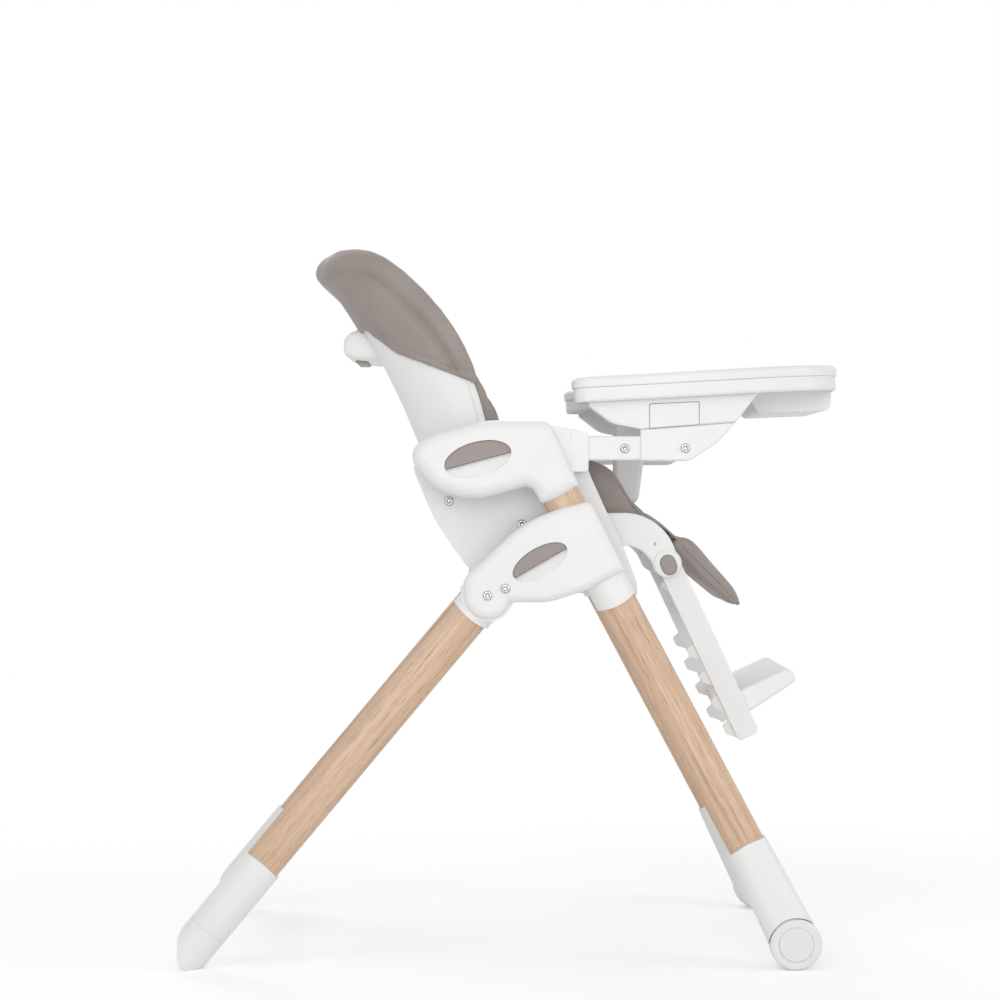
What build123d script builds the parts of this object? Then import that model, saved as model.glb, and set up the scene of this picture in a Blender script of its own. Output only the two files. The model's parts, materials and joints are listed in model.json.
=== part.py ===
from build123d import *

import os
from math import cos, radians, sin, tan

# A folding baby high chair: wood-look legs, plastic hubs, a seat that slides up the front legs,
# a reclining back, a sliding tray and a folding footrest.
# Millimetres, X forward, Y to the chair's left, Z up, origin on the floor under the middle of the chair.
# Side outlines are drawn as (x, z, corner radius) with z measured from the seat datum.

# Overall sizes
datum_height = 600.0
seat_half = 200.0
leg_spacing = 60.0
front_lean = 28.0
rear_lean = 39.9
wheel_radius = 33.5

# Clearances: within one body, between sliding or turning bodies, hinge pins, soft pieces
fit_gap = 0.15
run_gap = 0.4
pin_gap = 0.06
soft_gap = 0.3

# Legs
tube_width = 49.0
tube_depth = 42.0
front_point = (63.8, 8.1)
tube_top = -84.0
bore_end = -97.0
cap_wall = 2.6
cap_arch = 4.5
tongue_margin = 1.0
axle_set_back = 4.0

# Fold pivot, knuckle and hub
fold_pivot = (-34.1, -115.1)
pivot_radius = 5.0
lug_radius = 31.0
knuckle_radius = 34.0
knuckle_wall = 3.6
knuckle_end = 34.0
rear_tube_start = 14.0
fold_angle = 60.0
hub_in = 32.0
hub_out = 35.0
hub_round = 11.0
hub_wall = 6.0
hub_brow = 17.5
bolt_end = 4.0
hub_screw_at = (-10.9, -106.0)
collar_wall = 3.2
collar_start = 117.2
collar_end = 148.0
collar_arch = 6.0
screw_head = 6.2
screw_rise = 2.6

# Feet, wheels and crossbars
front_cap_length = 139.6
front_tube_short = 60.6
rear_cap_length = 109.0
rear_tube_short = 26.0
tip_height = 50.7
tip_reach = 17.2
tip_flat = 13.0
tip_round = 30.0
tip_heel = 16.0
tip_lift = 12.0
foot_depth = 27.0
cheek_inset = 2.5
wheel_inset = 2.0
wheel_width = 26.0
axle_radius = 4.0
tyre_band = 11.0
disc_sink = 3.0
bar_radius = 11.0
pocket_gap = 1.2
front_bar_up = 92.6
rear_bar_up = 76.0
foot_corner = 20.0
wheel_round = 4.0
cap_rise = 1.0
bar_gap = 1.0

# Push buttons in the hub and armrest recesses
button_sink = 2.6
button_thick = 5.0
button_travel = 4.0
stem_radius = 5.0
stem_length = 18.0
lip_depth = 7.0
lip_share = 0.12
fold_recess_shape = (33.4, -71.5, 39.0, 18.0, 30.0)
height_recess_shape = (-46.6, 61.0, 44.0, 22.0, 15.0)

# Seat unit: armrests, shell, tray arm channel, footrest brackets and the recline pivot
arm_out = 32.0
arm_in_reach = 27.0
arm_round = 16.0
arm_brow = (-98.7, 6.2)
sleeve_wall = 2.4
sleeve_end = -8.5
sleeve_arch = 4.0
sleeve_length = 28.0
shell_wall = 4.0
side_width = 48.0
rear_side_width = 24.0
back_clear = 14.0
pan_top = -43.0
pan_thick = 5.0
pan_front = 212.0
tray_arm_low = 60.0
tray_arm_high = 92.0
tray_arm_gap = 6.0
tray_arm_thick = 20.0
socket_rear = 75.0
socket_front = 98.0
seat_screw_at = (11.0, -24.0)
bracket_thick = 16.0
foot_pivot = (205.3, -76.6)
foot_pin_radius = 6.0
eye_radius = 19.0
eye_rise = 1.0
eye_step = 1.0
peep_at = (188.5, -50.6)
peep_radius = 1.6
peep_depth = 5.0
foot_button_at = (206.8, -78.7)
foot_button_turn = 110.0
foot_button_length = 27.0
foot_button_width = 20.0
foot_button_depth = 6.0
foot_button_travel = 2.5
foot_button_rise = 1.5
recline_pivot = (-85.5, 6.4)
recline_radius = 5.0
recline_pin_reach = 13.0

# Seat pad
pad_side_gap = 4.0
wing_width = 20.0
wing_top = 84.0
wing_round = 5.0
pad_top = -10.0
pad_tail_end = -58.0
crown = 5.0
crown_start = -46.0
crown_length = 200.0

# Backrest sections along the spine: x, z, lean, side gap, depth and corner, and the hood over them
back_shape = [
    (-100, -4, 12, 16, 80, 60),
    (-112, 40, 15, 10, 90, 66),
    (-150, 136, 27, 5, 102, 70),
    (-190, 214, 27, 9, 98, 70),
    (-231, 281, 42, 34, 72, 60),
    (-258, 308, 50, 78, 46, 40),
    (-268, 317, 52, 114, 26, 22),
]
hood_crown = (-268, 327, 52, 128, 8, 6)
ease_steps = 3
back_wall = 5.0
back_pad_thick = 18.0
pad_lip = 14.0
open_front = 60.0
hood_thick = 4.5
hood_lip = 5.0
boss_radius = 14.0

# Recline handle and its squeeze lever
handle_half = 80.0
handle_round = 8.0
lever_half = 54.0
lever_travel = 4.0
lever_rear_x = -217.0
lever_front_x = -200.0
lever_low = 196.0
lever_high = 216.0
lever_round = 3.0

# Tray, its skirts, levers and arms, and the crotch post
tray_overhang = 13.0
tray_length = 358.0
tray_tilt = 3.15
tray_rear = 78.0
tray_low = 134.7
base_high = 19.0
top_high = 14.5
top_round = 7.0
top_edge = 1.5
base_round = 4.0
base_inset = 2.0
tray_corner = 110.0
wing_corner = 20.0
wing_length = 55.0
bite_depth = 55.0
dish_rim = 24.0
dish_depth = 9.0
deck = 4.5
skirt_round = 3.0
skirt_in_gap = 4.0
skirt_out_gap = 32.0
skirt_rear = (166.0, 100.7)
skirt_front = (292.0, 110.3)
tray_lever_rear = 178.0
tray_lever_front = 243.0
tray_lever_top = (134.0, 137.0)
tray_lever_thick = 5.0
tray_lever_travel = 4.0
tray_lever_round = 1.5
apron_half = 118.0
notch_at = (431.0, 52.0, 122.0)
notch_size = (44.0, 36.0, 30.0)
arm_edge = 3.0
tray_arm_rear = 5.0
tray_arm_front = 230.0
arm_screw_at = (146.0, 75.5)
bracket_screw_at = (225.0, 76.0)
bracket_drop = 0.5
bracket_round = 2.5
bracket_set_in = 3.0
post_half = 17.0
post_round = 7.0

# Footrest, footplate and calf flap
foot_lean = 25.0
foot_length = 257.0
foot_rear = 13.0
foot_front = 17.0
rack_thick = 7.0
rack_depth = 11.0
rack_start = 112.0
rack_root = 2.0
tooth_rise = 4.0
tooth_land = 16.0
tooth_gap = 10.0
tooth_round = 3.0
notch_pitch = 38.0
notch_count = 4
foot_bar_at = 40.0
foot_bar_radius = 8.0
plate_round = 4.0
flap_hinge = (222.0, -52.0)
flap_lean = 45.0
flap_side_gap = 5.6
flap_eye = 10.0
flap_soft = 5.0

# Planes and half-widths that follow from the sizes above
floor = -datum_height
left = Plane.XZ
leg_plane = seat_half + leg_spacing
seat_inner = seat_half - side_width
rear_inner = seat_half - rear_side_width
arm_face = leg_plane + arm_out
arm_back = leg_plane - arm_in_reach
carrier_half = arm_back - fit_gap
tray_arm_in = seat_half + tray_arm_gap
tray_arm_out = tray_arm_in + tray_arm_thick
bracket_in = seat_inner + shell_wall
bracket_out = bracket_in + bracket_thick
foot_arm_in = bracket_in - run_gap - bracket_thick
pad_half = seat_inner - pad_side_gap
pad_inner = pad_half - wing_width
skirt_in = seat_half - skirt_in_gap
skirt_out = seat_half + skirt_out_gap
tray_half = skirt_out + tray_overhang
bite_half = tray_half - wing_length
flap_half = foot_arm_in - flap_side_gap
cheek_radius = wheel_radius - cheek_inset
disc_radius = wheel_radius - tyre_band
far = 1500.0
nodes = {}


def outline(*corners):
    points = [(x, z) for x, z, radius in corners]
    return make_face(FilletPolyline(*points, radius=[c[2] for c in corners], close=True))


def slab(face, inner, outer):
    """A side-view face extruded from one half-distance to a larger one on the chair's right."""
    return extrude(Plane.XZ.offset(inner) * face, outer - inner)


def rod(x, z, radius, inner, outer):
    return slab(Pos(x, z) * Circle(radius), inner, outer)


def rims(solid, half):
    """The edges of a right-hand piece that lie in the plane at one half-distance."""
    return solid.edges().filter_by_position(Axis.Y, -half - 0.01, -half + 0.01)


def both(solid):
    return Compound(children=[solid, mirror(solid, about=left)])


def add(name, solid):
    nodes[name] = solid


def add_pair(name, solid):
    add(name + "_right", solid)
    add(name + "_left", mirror(solid, about=left))


class Leg:
    """Frame of one leg: t runs down the leg from its start, u across it towards the front."""

    def __init__(self, start, lean, sign):
        self.start = start
        self.lean = radians(lean)
        self.along = (sign * sin(self.lean), 0, -cos(self.lean))
        self.across = (cos(self.lean), 0, sign * sin(self.lean))

    def point(self, t, u=0):
        x = self.start[0] + self.along[0] * t + self.across[0] * u
        z = self.start[1] + self.along[2] * t + self.across[2] * u
        return x, z

    def section(self, t):
        x, z = self.point(t)
        return Plane(origin=(x, -leg_plane, z), x_dir=self.across, z_dir=self.along)

    def side(self, half):
        origin = (self.start[0], 0, self.start[1])
        return Plane(origin=origin, x_dir=self.along, z_dir=(0, -1, 0)).offset(half)

    def bar(self, width, depth, begin, end):
        return extrude(self.section(begin) * SlotOverall(width, depth), end - begin)


front = Leg(front_point, front_lean, 1)
rear = Leg(fold_pivot, rear_lean, -1)


def swell(begin, rise, end):
    """An edge across a leg that bows by a rise along it, or a straight one."""
    if rise == 0:
        return Line(begin, end)
    return ThreePointArc(begin, (begin[0] + rise, 0), end)


def tongue(begin, end, half, begin_arch, end_arch):
    """Side view of a collar whose ends swell into tongues along the middle of the leg."""
    edges = [
        Line((begin, half), (end, half)),
        swell((end, half), end_arch, (end, -half)),
        Line((end, -half), (begin, -half)),
        swell((begin, -half), -begin_arch, (begin, half)),
    ]
    return make_face(edges)


def sleeve(leg, wall, begin, end, begin_arch, end_arch):
    """A collar round a leg, cut to tongues at its ends."""
    width = tube_width + 2 * (wall + fit_gap)
    depth = tube_depth + 2 * (wall + fit_gap)
    body = leg.bar(width, depth, begin - begin_arch, end + end_arch)
    side = leg.side(leg_plane - depth) * tongue(begin, end, width / 2 + tongue_margin, begin_arch, end_arch)
    return body & extrude(side, 2 * depth)


def leg_bore(leg, gap, begin, end):
    return leg.bar(tube_width + 2 * gap, tube_depth + 2 * gap, begin, end)


def dome_screw(x, z, face):
    """A low dome head on a face."""
    head = rod(x, z, screw_head, face, face + screw_rise)
    return fillet(rims(head, face + screw_rise), screw_rise * 0.8)


def recess(x, z, wide, high, tilt, face):
    """Finger recess on an outer face: its cut, and the push button that fills its upper part."""
    at = Plane.XZ.offset(face).location * Pos(x, z) * Rot(0, 0, tilt)
    lip = -lip_share * high
    depth = button_sink + button_thick + button_travel + run_gap
    oval = Ellipse(wide, high)
    upper = oval & Pos(0, lip + high) * Rectangle(2 * wide, 2 * high)
    wedge = make_face(Polyline((lip, 1), (lip, -lip_depth), (-high, 0), (-high, 1), close=True))
    slope = extrude(Plane.YZ * wedge, wide, both=True) & extrude(oval, lip_depth + 1, both=True)
    stem_at = Pos(0, high * 0.35)
    stem_hole = extrude(stem_at * Circle(stem_radius + run_gap), -depth - stem_length - 1)
    cut = extrude(upper, -depth) + slope + stem_hole
    small = Ellipse(wide - run_gap, high - run_gap)
    cap = small & Pos(0, lip + run_gap + high) * Rectangle(2 * wide, 2 * high)
    stem = extrude(stem_at * Circle(stem_radius), -stem_length - button_thick)
    button = Pos(0, 0, -button_sink) * (extrude(cap, -button_thick) + stem)
    return at * cut, at * button


# Front legs, which end in the feet above the wheels, with their collars
axle_drop = front_point[1] - floor - wheel_radius - axle_set_back * sin(front.lean)
wheel_t = axle_drop / cos(front.lean)
front_cap_top = wheel_t - front_cap_length
front_tube_end = wheel_t - front_tube_short
add_pair("front_leg", leg_bore(front, 0, tube_top, front_tube_end))
collar = sleeve(front, collar_wall, collar_start, collar_end, 0, collar_arch)
collar = collar - leg_bore(front, fit_gap, collar_start - 1, collar_end + 2 * collar_arch)
add("leg_collars", both(collar))

# Hub housings: two halves that form a fork round the rear knuckle
hub_face = leg_plane + hub_out
hub_back = leg_plane - hub_in
pivot_x, pivot_z = fold_pivot
lug_rear = pivot_x - lug_radius
collar_rear = front.point(collar_start, -tube_width / 2 - collar_wall - fit_gap)
collar_front = front.point(collar_start, tube_width / 2 + collar_wall + fit_gap)
hub_plate = outline(
    (lug_rear, pivot_z, 0),
    (lug_rear, -94, 16),
    (10, -22, 160),
    (58, -3, 200),
    (*front.point(hub_brow, tube_width / 2 + hub_wall), 10),
    (*collar_front, 0),
    (*collar_rear, 0),
    (45, -124.2, 80),
    (pivot_x, -124.2, 0),
)
hub_plate = hub_plate + Pos(*fold_pivot) * Circle(lug_radius)
hub = slab(hub_plate, hub_back, hub_face)
hub = fillet(rims(hub, hub_face), hub_round)
fork_half = tube_depth / 2 + knuckle_wall + run_gap
fork_radius = knuckle_radius + run_gap
sweep_reach = 4 * lug_radius
folded = Leg(fold_pivot, rear_lean - fold_angle, -1)
middle = Leg(fold_pivot, rear_lean - fold_angle / 2, -1)
fork = make_face(
    Polyline(
        rear.point(0, -fork_radius),
        rear.point(sweep_reach, -fork_radius),
        middle.point(2 * sweep_reach),
        folded.point(sweep_reach, fork_radius),
        folded.point(0, fork_radius),
        close=True,
    )
)
fork = fork + Pos(*fold_pivot) * Circle(fork_radius)
hub = hub - slab(fork, leg_plane - fork_half, leg_plane + fork_half)
hub = hub - leg_bore(front, fit_gap, tube_top, collar_end)
hub = hub - rod(*fold_pivot, pivot_radius + fit_gap, hub_back + bolt_end, hub_face)
fold_recess, fold_button = recess(*fold_recess_shape, hub_face)
hub = hub - fold_recess
outer_side = slab(Rectangle(2 * far, 2 * far), leg_plane, far)
inner_side = slab(Rectangle(2 * far, 2 * far), 0, leg_plane)
add_pair("hub_outer", hub & outer_side)
add("hub_inner_covers", both(hub & inner_side))
add_pair("fold_button", fold_button)
bolt = rod(*fold_pivot, pivot_radius, hub_back + bolt_end, hub_face) + dome_screw(*fold_pivot, hub_face)
add("fold_pivot_bolts", both(bolt))
add("hub_screws", both(dome_screw(*hub_screw_at, hub_face)))

# Front feet, axles and wheels
wheel_x, wheel_z = front.point(wheel_t, -axle_set_back)
cap_width = tube_width + 2 * (cap_wall + fit_gap)
cap_depth = tube_depth + 2 * (cap_wall + fit_gap)
cap_half = cap_width / 2
mouth = front.section(front_cap_top - 2 * cap_arch) * RectangleRounded(cap_width, cap_depth, foot_corner)
sole_plane = front.section(wheel_t + wheel_radius)
sole = sole_plane * Pos(-axle_set_back, 0) * RectangleRounded(2 * wheel_radius, 2 * foot_depth, foot_corner)
foot_side = make_face(
    [
        Line((wheel_t, -axle_set_back - wheel_radius), (front_cap_top, -cap_half)),
        ThreePointArc((front_cap_top, -cap_half), (front_cap_top - cap_arch, 0), (front_cap_top, cap_half)),
        Line((front_cap_top, cap_half), (wheel_t, -axle_set_back + wheel_radius)),
        Line((wheel_t, -axle_set_back + wheel_radius), (wheel_t, -axle_set_back - wheel_radius)),
    ]
)
foot_side = foot_side + Pos(wheel_t, -axle_set_back) * Circle(cheek_radius)
foot_block = loft([mouth, sole], ruled=True)
front_foot = foot_block & extrude(front.side(0) * foot_side, 2 * leg_plane)
front_foot = front_foot - leg_bore(front, fit_gap, front_cap_top - 4 * cap_arch, front_tube_end + fit_gap)
wheel_inner = leg_plane - wheel_inset
wheel_outer = wheel_inner + wheel_width
pocket = rod(wheel_x, wheel_z, wheel_radius + pocket_gap, wheel_inner - run_gap, 2 * leg_plane)
axle_inner = leg_plane - foot_depth + bolt_end
axle_outer = wheel_outer - 2 * disc_sink
axle_hole = rod(wheel_x, wheel_z, axle_radius + fit_gap, axle_inner, wheel_inner)
bar_end = leg_plane - tube_depth / 2 - bar_gap
front_bar = front.point(wheel_t - front_bar_up)
bar_hole = rod(*front_bar, bar_radius + fit_gap, 0, bar_end)
add_pair("front_foot", front_foot - pocket - axle_hole - bar_hole)
add("wheel_axles", both(rod(wheel_x, wheel_z, axle_radius, axle_inner, axle_outer)))
add("front_crossbar", rod(*front_bar, bar_radius, -bar_end, bar_end))
wheel = rod(wheel_x, wheel_z, wheel_radius, wheel_inner, wheel_outer)
wheel = fillet(rims(wheel, wheel_inner) + rims(wheel, wheel_outer), wheel_round)
wheel = wheel - rod(wheel_x, wheel_z, disc_radius, wheel_outer - disc_sink, wheel_outer)
wheel = wheel - rod(wheel_x, wheel_z, axle_radius + pin_gap, wheel_inner, axle_outer + run_gap)
add_pair("wheel", wheel)
cap_face = wheel_outer + cap_rise
disc = rod(wheel_x, wheel_z, disc_radius - fit_gap, wheel_outer - disc_sink, cap_face)
add_pair("wheel_cap", fillet(rims(disc, cap_face), 1.5 * cap_rise))

# Rear legs: knuckle, post, foot and tip
rear_cap_end = (pivot_z - floor - tip_height) / cos(rear.lean)
rear_cap_top = rear_cap_end - rear_cap_length
rear_tube_end = rear_cap_end - rear_tube_short
add_pair("rear_leg", leg_bore(rear, 0, rear_tube_start, rear_tube_end))
knuckle = sleeve(rear, knuckle_wall, 0, knuckle_end, 0, cap_arch)
knuckle_half = tube_depth / 2 + knuckle_wall
knuckle = knuckle + rod(*fold_pivot, knuckle_radius, leg_plane - knuckle_half, leg_plane + knuckle_half)
knuckle = knuckle - leg_bore(rear, fit_gap, rear_tube_start - fit_gap, 2 * knuckle_end)
knuckle = knuckle - rod(*fold_pivot, pivot_radius + pin_gap, 0, 2 * leg_plane)
add_pair("rear_knuckle", knuckle)
rear_foot = sleeve(rear, cap_wall, rear_cap_top, rear_cap_end, cap_arch, 0)
rear_foot = rear_foot - leg_bore(rear, fit_gap, rear_cap_top - 2 * cap_arch, rear_tube_end + fit_gap)
rear_bar = rear.point(rear_cap_end - rear_bar_up)
rear_hole = rod(*rear_bar, bar_radius + fit_gap, 0, bar_end)
add_pair("rear_foot", rear_foot - rear_hole)
add("rear_crossbar", rod(*rear_bar, bar_radius, -bar_end, bar_end))
heel_x, heel_z = rear.point(rear_cap_end, -cap_half)
toe_x, toe_z = rear.point(rear_cap_end, cap_half)
tip_back = heel_x - tip_reach
tip_corner = heel_z - tip_reach / tan(radians(rear_lean))
tip_side = outline(
    (heel_x, heel_z, 0),
    (tip_back, tip_corner, tip_round),
    (tip_back, floor, tip_heel),
    (tip_back + tip_heel + tip_flat + tip_lift / 2, floor, tip_lift),
    (toe_x, toe_z, 0),
)
tip_half = cap_depth / 2
tip = slab(tip_side, leg_plane - tip_half, leg_plane + tip_half)
tip = tip & rear.bar(cap_width, cap_depth, rear_cap_end, 2 * rear_cap_end)
add("rear_foot_tips", both(tip))

# Armrests that run down into the sleeves that slide on the front legs
sleeve_half = tube_width / 2 + run_gap + sleeve_wall
arm_plate = outline(
    (*front.point(arm_brow[0], sleeve_half + arm_brow[1]), 26),
    (*front.point(sleeve_end, sleeve_half), 4),
    (*front.point(sleeve_end + sleeve_arch), 60),
    (*front.point(sleeve_end, -sleeve_half), 4),
    (*front.point(sleeve_end - sleeve_length, -sleeve_half), 14),
    (-48, 7, 90),
    (-100, 20, 60),
    (-140, 66, 22),
    (-112, 92, 60),
    (-40, 111, 150),
)
armrest = slab(arm_plate, arm_back, arm_face)
armrest = fillet(rims(armrest, arm_face), arm_round)
armrest = armrest - leg_bore(front, run_gap, bore_end, sleeve_length)
height_recess, height_button = recess(*height_recess_shape, arm_face)
add_pair("armrest", armrest - height_recess)
add_pair("height_button", height_button)

# Seat shell: a bucket with a pan, hollow side walls and carriers for the armrests
shell_side = outline(
    (-124, 66, 10),
    (-60, 92, 40),
    (50, 105, 30),
    (socket_front, 97, 6),
    (socket_front, 48, 40),
    (124, -10, 60),
    (144, -51, 60),
    (163.4, -103, 4),
    (163.4, -120, 4),
    (-20, -108, 40),
    (-58, -85, 60),
    (-105, -18, 250),
    (-133, 50, 12),
)
above_pan = outline(
    (-180, -20, 0), (-86, -20, 6), (-66, pan_top, 8), (230, pan_top, 0), (230, 140, 0), (-180, 140, 0)
)
behind = outline((-180, -20, 0), (back_clear, -20, 0), (back_clear, 140, 0), (-180, 140, 0))
below_pan = outline(
    (-46, -82, 6),
    (-80, pan_top - pan_thick, 6),
    (230, pan_top - pan_thick, 0),
    (230, -160, 0),
    (-46, -160, 0),
)
wall_hollow = outline((0, 80, 10), (230, 80, 0), (230, -160, 0), (0, -160, 0))
shell = slab(shell_side, -seat_half, seat_half)
shell = shell - slab(above_pan, -seat_inner, seat_inner) - slab(behind, -rear_inner, rear_inner)
shell = shell - slab(below_pan, -seat_half + shell_wall, seat_half - shell_wall)
hollow = slab(wall_hollow, seat_inner + shell_wall, seat_half - shell_wall)
shell = shell - hollow - mirror(hollow, about=left)
nose = outline(
    (80, pan_top, 0),
    (pan_front, pan_top, 4),
    (pan_front, pan_top - pan_thick, 0),
    (80, pan_top - pan_thick, 0),
)
nose_half = foot_arm_in - 2 * run_gap
shell = shell + slab(nose, -nose_half, nose_half)
carrier_side = outline(
    (-62, 40, 6), (-62, 88, 20), (0, 104, 60), (40, 107, 20), (socket_rear, 101, 0), (socket_rear, 40, 0)
)
arm_channel = outline(
    (-48, tray_arm_low - run_gap, 0),
    (-48, tray_arm_high + run_gap, 0),
    (2 * socket_front, tray_arm_high + run_gap, 0),
    (2 * socket_front, tray_arm_low - run_gap, 0),
)
channel = slab(arm_channel, tray_arm_in - run_gap, tray_arm_out + run_gap)
carrier = slab(carrier_side, seat_half, carrier_half) - channel
shell = shell + carrier + mirror(carrier, about=left)
pin_hole = rod(*recline_pivot, recline_radius + fit_gap, -seat_half, seat_half)
add("seat_shell", shell - pin_hole)
socket_side = outline(
    (socket_rear, 45, 0), (socket_rear, 101, 0), (socket_front, 96, 5), (socket_front, 45, 5)
)
add("arm_sockets", both(slab(socket_side, seat_half, carrier_half) - channel))
add("seat_screws", both(dome_screw(*seat_screw_at, seat_half)))
recline_pin = rod(*recline_pivot, recline_radius, rear_inner - recline_pin_reach, seat_half)
recline_pin = recline_pin + dome_screw(*recline_pivot, seat_half)
add("recline_pins", both(recline_pin))

# Footrest brackets: arches from the seat's side walls to the footrest hinge
arch = make_face(
    [
        Line((104, -53), (104, -9.5)),
        Line((104, -9.5), (145, -9)),
        ThreePointArc((145, -9), (190, -23), (216, -60)),
        Line((216, -60), (223, -70)),
        Line((223, -70), (187, -82)),
        ThreePointArc((187, -82), (172, -61), (146, -53)),
        Line((146, -53), (104, -53)),
    ]
)
arch = arch + Pos(*foot_pivot) * Circle(eye_radius)
bracket = slab(arch, bracket_in, bracket_out)
bracket = fillet(rims(bracket, bracket_out), 2)
bracket = bracket + rod(*foot_pivot, eye_radius - eye_step, bracket_in, bracket_out + eye_rise)
bracket = bracket - rod(*peep_at, peep_radius, bracket_out - peep_depth, bracket_out)
foot_button_place = Pos(*foot_button_at) * Rot(0, 0, foot_button_turn)
foot_button_face = foot_button_place * SlotOverall(foot_button_length, foot_button_width)
foot_button_hole = offset(foot_button_face, run_gap)
bracket = bracket - slab(foot_button_hole, bracket_out - foot_button_depth, bracket_out + 2 * eye_rise)
bracket = bracket - rod(*foot_pivot, foot_pin_radius + fit_gap, bracket_in, bracket_out)
add("footrest_brackets", both(bracket))
foot_button_back = bracket_out - foot_button_depth + foot_button_travel + run_gap
foot_button_top = bracket_out + eye_rise + foot_button_rise
foot_button = slab(foot_button_face, foot_button_back, foot_button_top)
add_pair("footrest_button", fillet(rims(foot_button, foot_button_top), foot_button_rise))
foot_pin = rod(*foot_pivot, foot_pin_radius, foot_arm_in, bracket_out - foot_button_depth)
add("footrest_pins", both(foot_pin))

# Seat pad: wings at the sides, a crowned middle and a rolled front
pad_side = outline(
    (back_clear + pad_side_gap, pan_top + soft_gap, 8),
    (223, pan_top + soft_gap, 6),
    (190, -20, 60),
    (140, 46, 40),
    (60, wing_top, 40),
    (back_clear + pad_side_gap, wing_top, 20),
)
pad_channel = outline((-100, pad_top, 0), (172, pad_top, 40), (240, -54, 0), (240, 140, 0), (-100, 140, 0))
seat_pad = slab(pad_side, -pad_half, pad_half)
seat_pad = fillet(rims(seat_pad, pad_half) + rims(seat_pad, -pad_half), wing_round)
seat_pad = seat_pad - slab(pad_channel, -pad_inner, pad_inner)
pad_tail = outline(
    (pad_tail_end, pan_top + soft_gap, 8),
    (30, pan_top + soft_gap, 0),
    (30, pad_top, 0),
    (pad_tail_end, pad_top, 8),
)
seat_pad = seat_pad + slab(pad_tail, -pad_inner, pad_inner)
crown_face = make_face(
    [
        Line((-pad_inner, pad_top - 1), (pad_inner, pad_top - 1)),
        ThreePointArc((pad_inner, pad_top - 1), (0, pad_top + crown), (-pad_inner, pad_top - 1)),
    ]
)
seat_pad = seat_pad + extrude(Plane.YZ.offset(crown_start) * crown_face, crown_length)
add("seat_pad", seat_pad)

# Backrest: a bucket lofted through sections along the spine
def ease(before, begin, end, after, t):
    """A smooth curve through begin and end, led by the values before and after them."""
    slope_in = (end - before) / 2
    slope_out = (after - begin) / 2
    rise = end - begin
    bend = 3 * rise - 2 * slope_in - slope_out
    turn = slope_in + slope_out - 2 * rise
    return begin + t * (slope_in + t * (bend + t * turn))


def eased(rows, steps):
    """Rows of values with smooth steps added between them."""
    made = []
    for i in range(len(rows) - 1):
        around = [rows[max(i - 1, 0)], rows[i], rows[i + 1], rows[min(i + 2, len(rows) - 1)]]
        made += [tuple(ease(*values, step / steps) for values in zip(*around)) for step in range(steps)]
    return made + [rows[-1]]


def back_plane(station, drop=0):
    """The plane of a back section, moved down the spine by a drop."""
    x, z, lean = station[:3]
    angle = radians(lean)
    up = (-sin(angle), 0, cos(angle))
    return Plane(origin=(x, 0, z), x_dir=(cos(angle), 0, sin(angle)), z_dir=up).offset(-drop)


def bucket(stations, grow, reach):
    """A loft through back sections: grown outwards, with its open front moved by a reach."""
    sections = []
    for station in stations:
        side_gap, depth, corner = station[3:]
        side = rear_inner - side_gap + grow
        face = outline(
            (-grow, -side, corner + grow),
            (depth + reach, -side, 0),
            (depth + reach, side, 0),
            (-grow, side, corner + grow),
        )
        sections.append(back_plane(station) * face)
    return loft(sections, ruled=True)


def below(station, drop):
    """The space below a back section."""
    return extrude(back_plane(station, drop) * Rectangle(far, far), -far)


back_stations = eased(back_shape, ease_steps)
lower_stations = back_stations[:-ease_steps]
recline_boss = rod(*recline_pivot, boss_radius, -rear_inner + run_gap, rear_inner - run_gap)
recline_bore = rod(*recline_pivot, recline_radius + pin_gap, -seat_half, seat_half)
back_core = bucket(back_stations, 0, 0)
back_cavity = bucket(lower_stations, -back_wall, open_front)
back_shell = back_core + recline_boss
back_shell = back_shell - back_cavity - recline_bore
add("backrest_shell", back_shell)
lining = -back_wall - soft_gap
pad_end = lower_stations[-1]
back_pad = bucket(lower_stations, lining, open_front) & below(pad_end, 2 * soft_gap)
back_pad = back_pad & bucket(lower_stations, back_pad_thick, pad_lip)
pad_hollow = bucket(lower_stations, lining - back_pad_thick, open_front)
back_pad = back_pad - (pad_hollow & below(pad_end, back_pad_thick))
add("back_pad", back_pad)

# Hood: a cover drawn over the top of the back, down to a curved hem
hem = outline(
    (-330, 240, 0),
    (-197, 236, 0),
    (-156, 203, 60),
    (-40, 160, 0),
    (60, 160, 0),
    (60, 420, 0),
    (-330, 420, 0),
)
above_hem = slab(hem, -seat_half, seat_half)
hood_core = bucket(back_stations + [hood_crown], hood_thick + soft_gap, hood_lip)
hood = (hood_core & above_hem) - bucket(back_stations, soft_gap, soft_gap) - back_cavity
add("headrest_cover", hood)

# Recline handle behind the back, with its squeeze lever
handle_side = outline(
    (-150, 195, 0),
    (-150, 246, 0),
    (-200, 247, 16),
    (-233, 232, 18),
    (-231, 206, 8),
    (-214, 200, 6),
)
handle = slab(handle_side, -handle_half, handle_half)
handle = fillet(rims(handle, handle_half) + rims(handle, -handle_half), handle_round)
lever_slot = outline(
    (lever_rear_x, 0, 0), (lever_rear_x, lever_high, 4), (lever_front_x, lever_high, 4), (lever_front_x, 0, 0)
)
handle = handle - slab(lever_slot, -lever_half - run_gap, lever_half + run_gap)
handle = handle - back_core - (bucket(back_stations, hood_thick + 2 * soft_gap, 0) & above_hem)
add("recline_handle", handle)
lever_side = outline(
    (lever_rear_x + run_gap, lever_low, lever_round),
    (lever_rear_x + run_gap, lever_high - lever_travel - run_gap, lever_round),
    (lever_front_x - run_gap, lever_high - lever_travel - run_gap, lever_round),
    (lever_front_x - run_gap, lever_low, lever_round),
)
add("recline_lever", slab(lever_side, -lever_half, lever_half))

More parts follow.
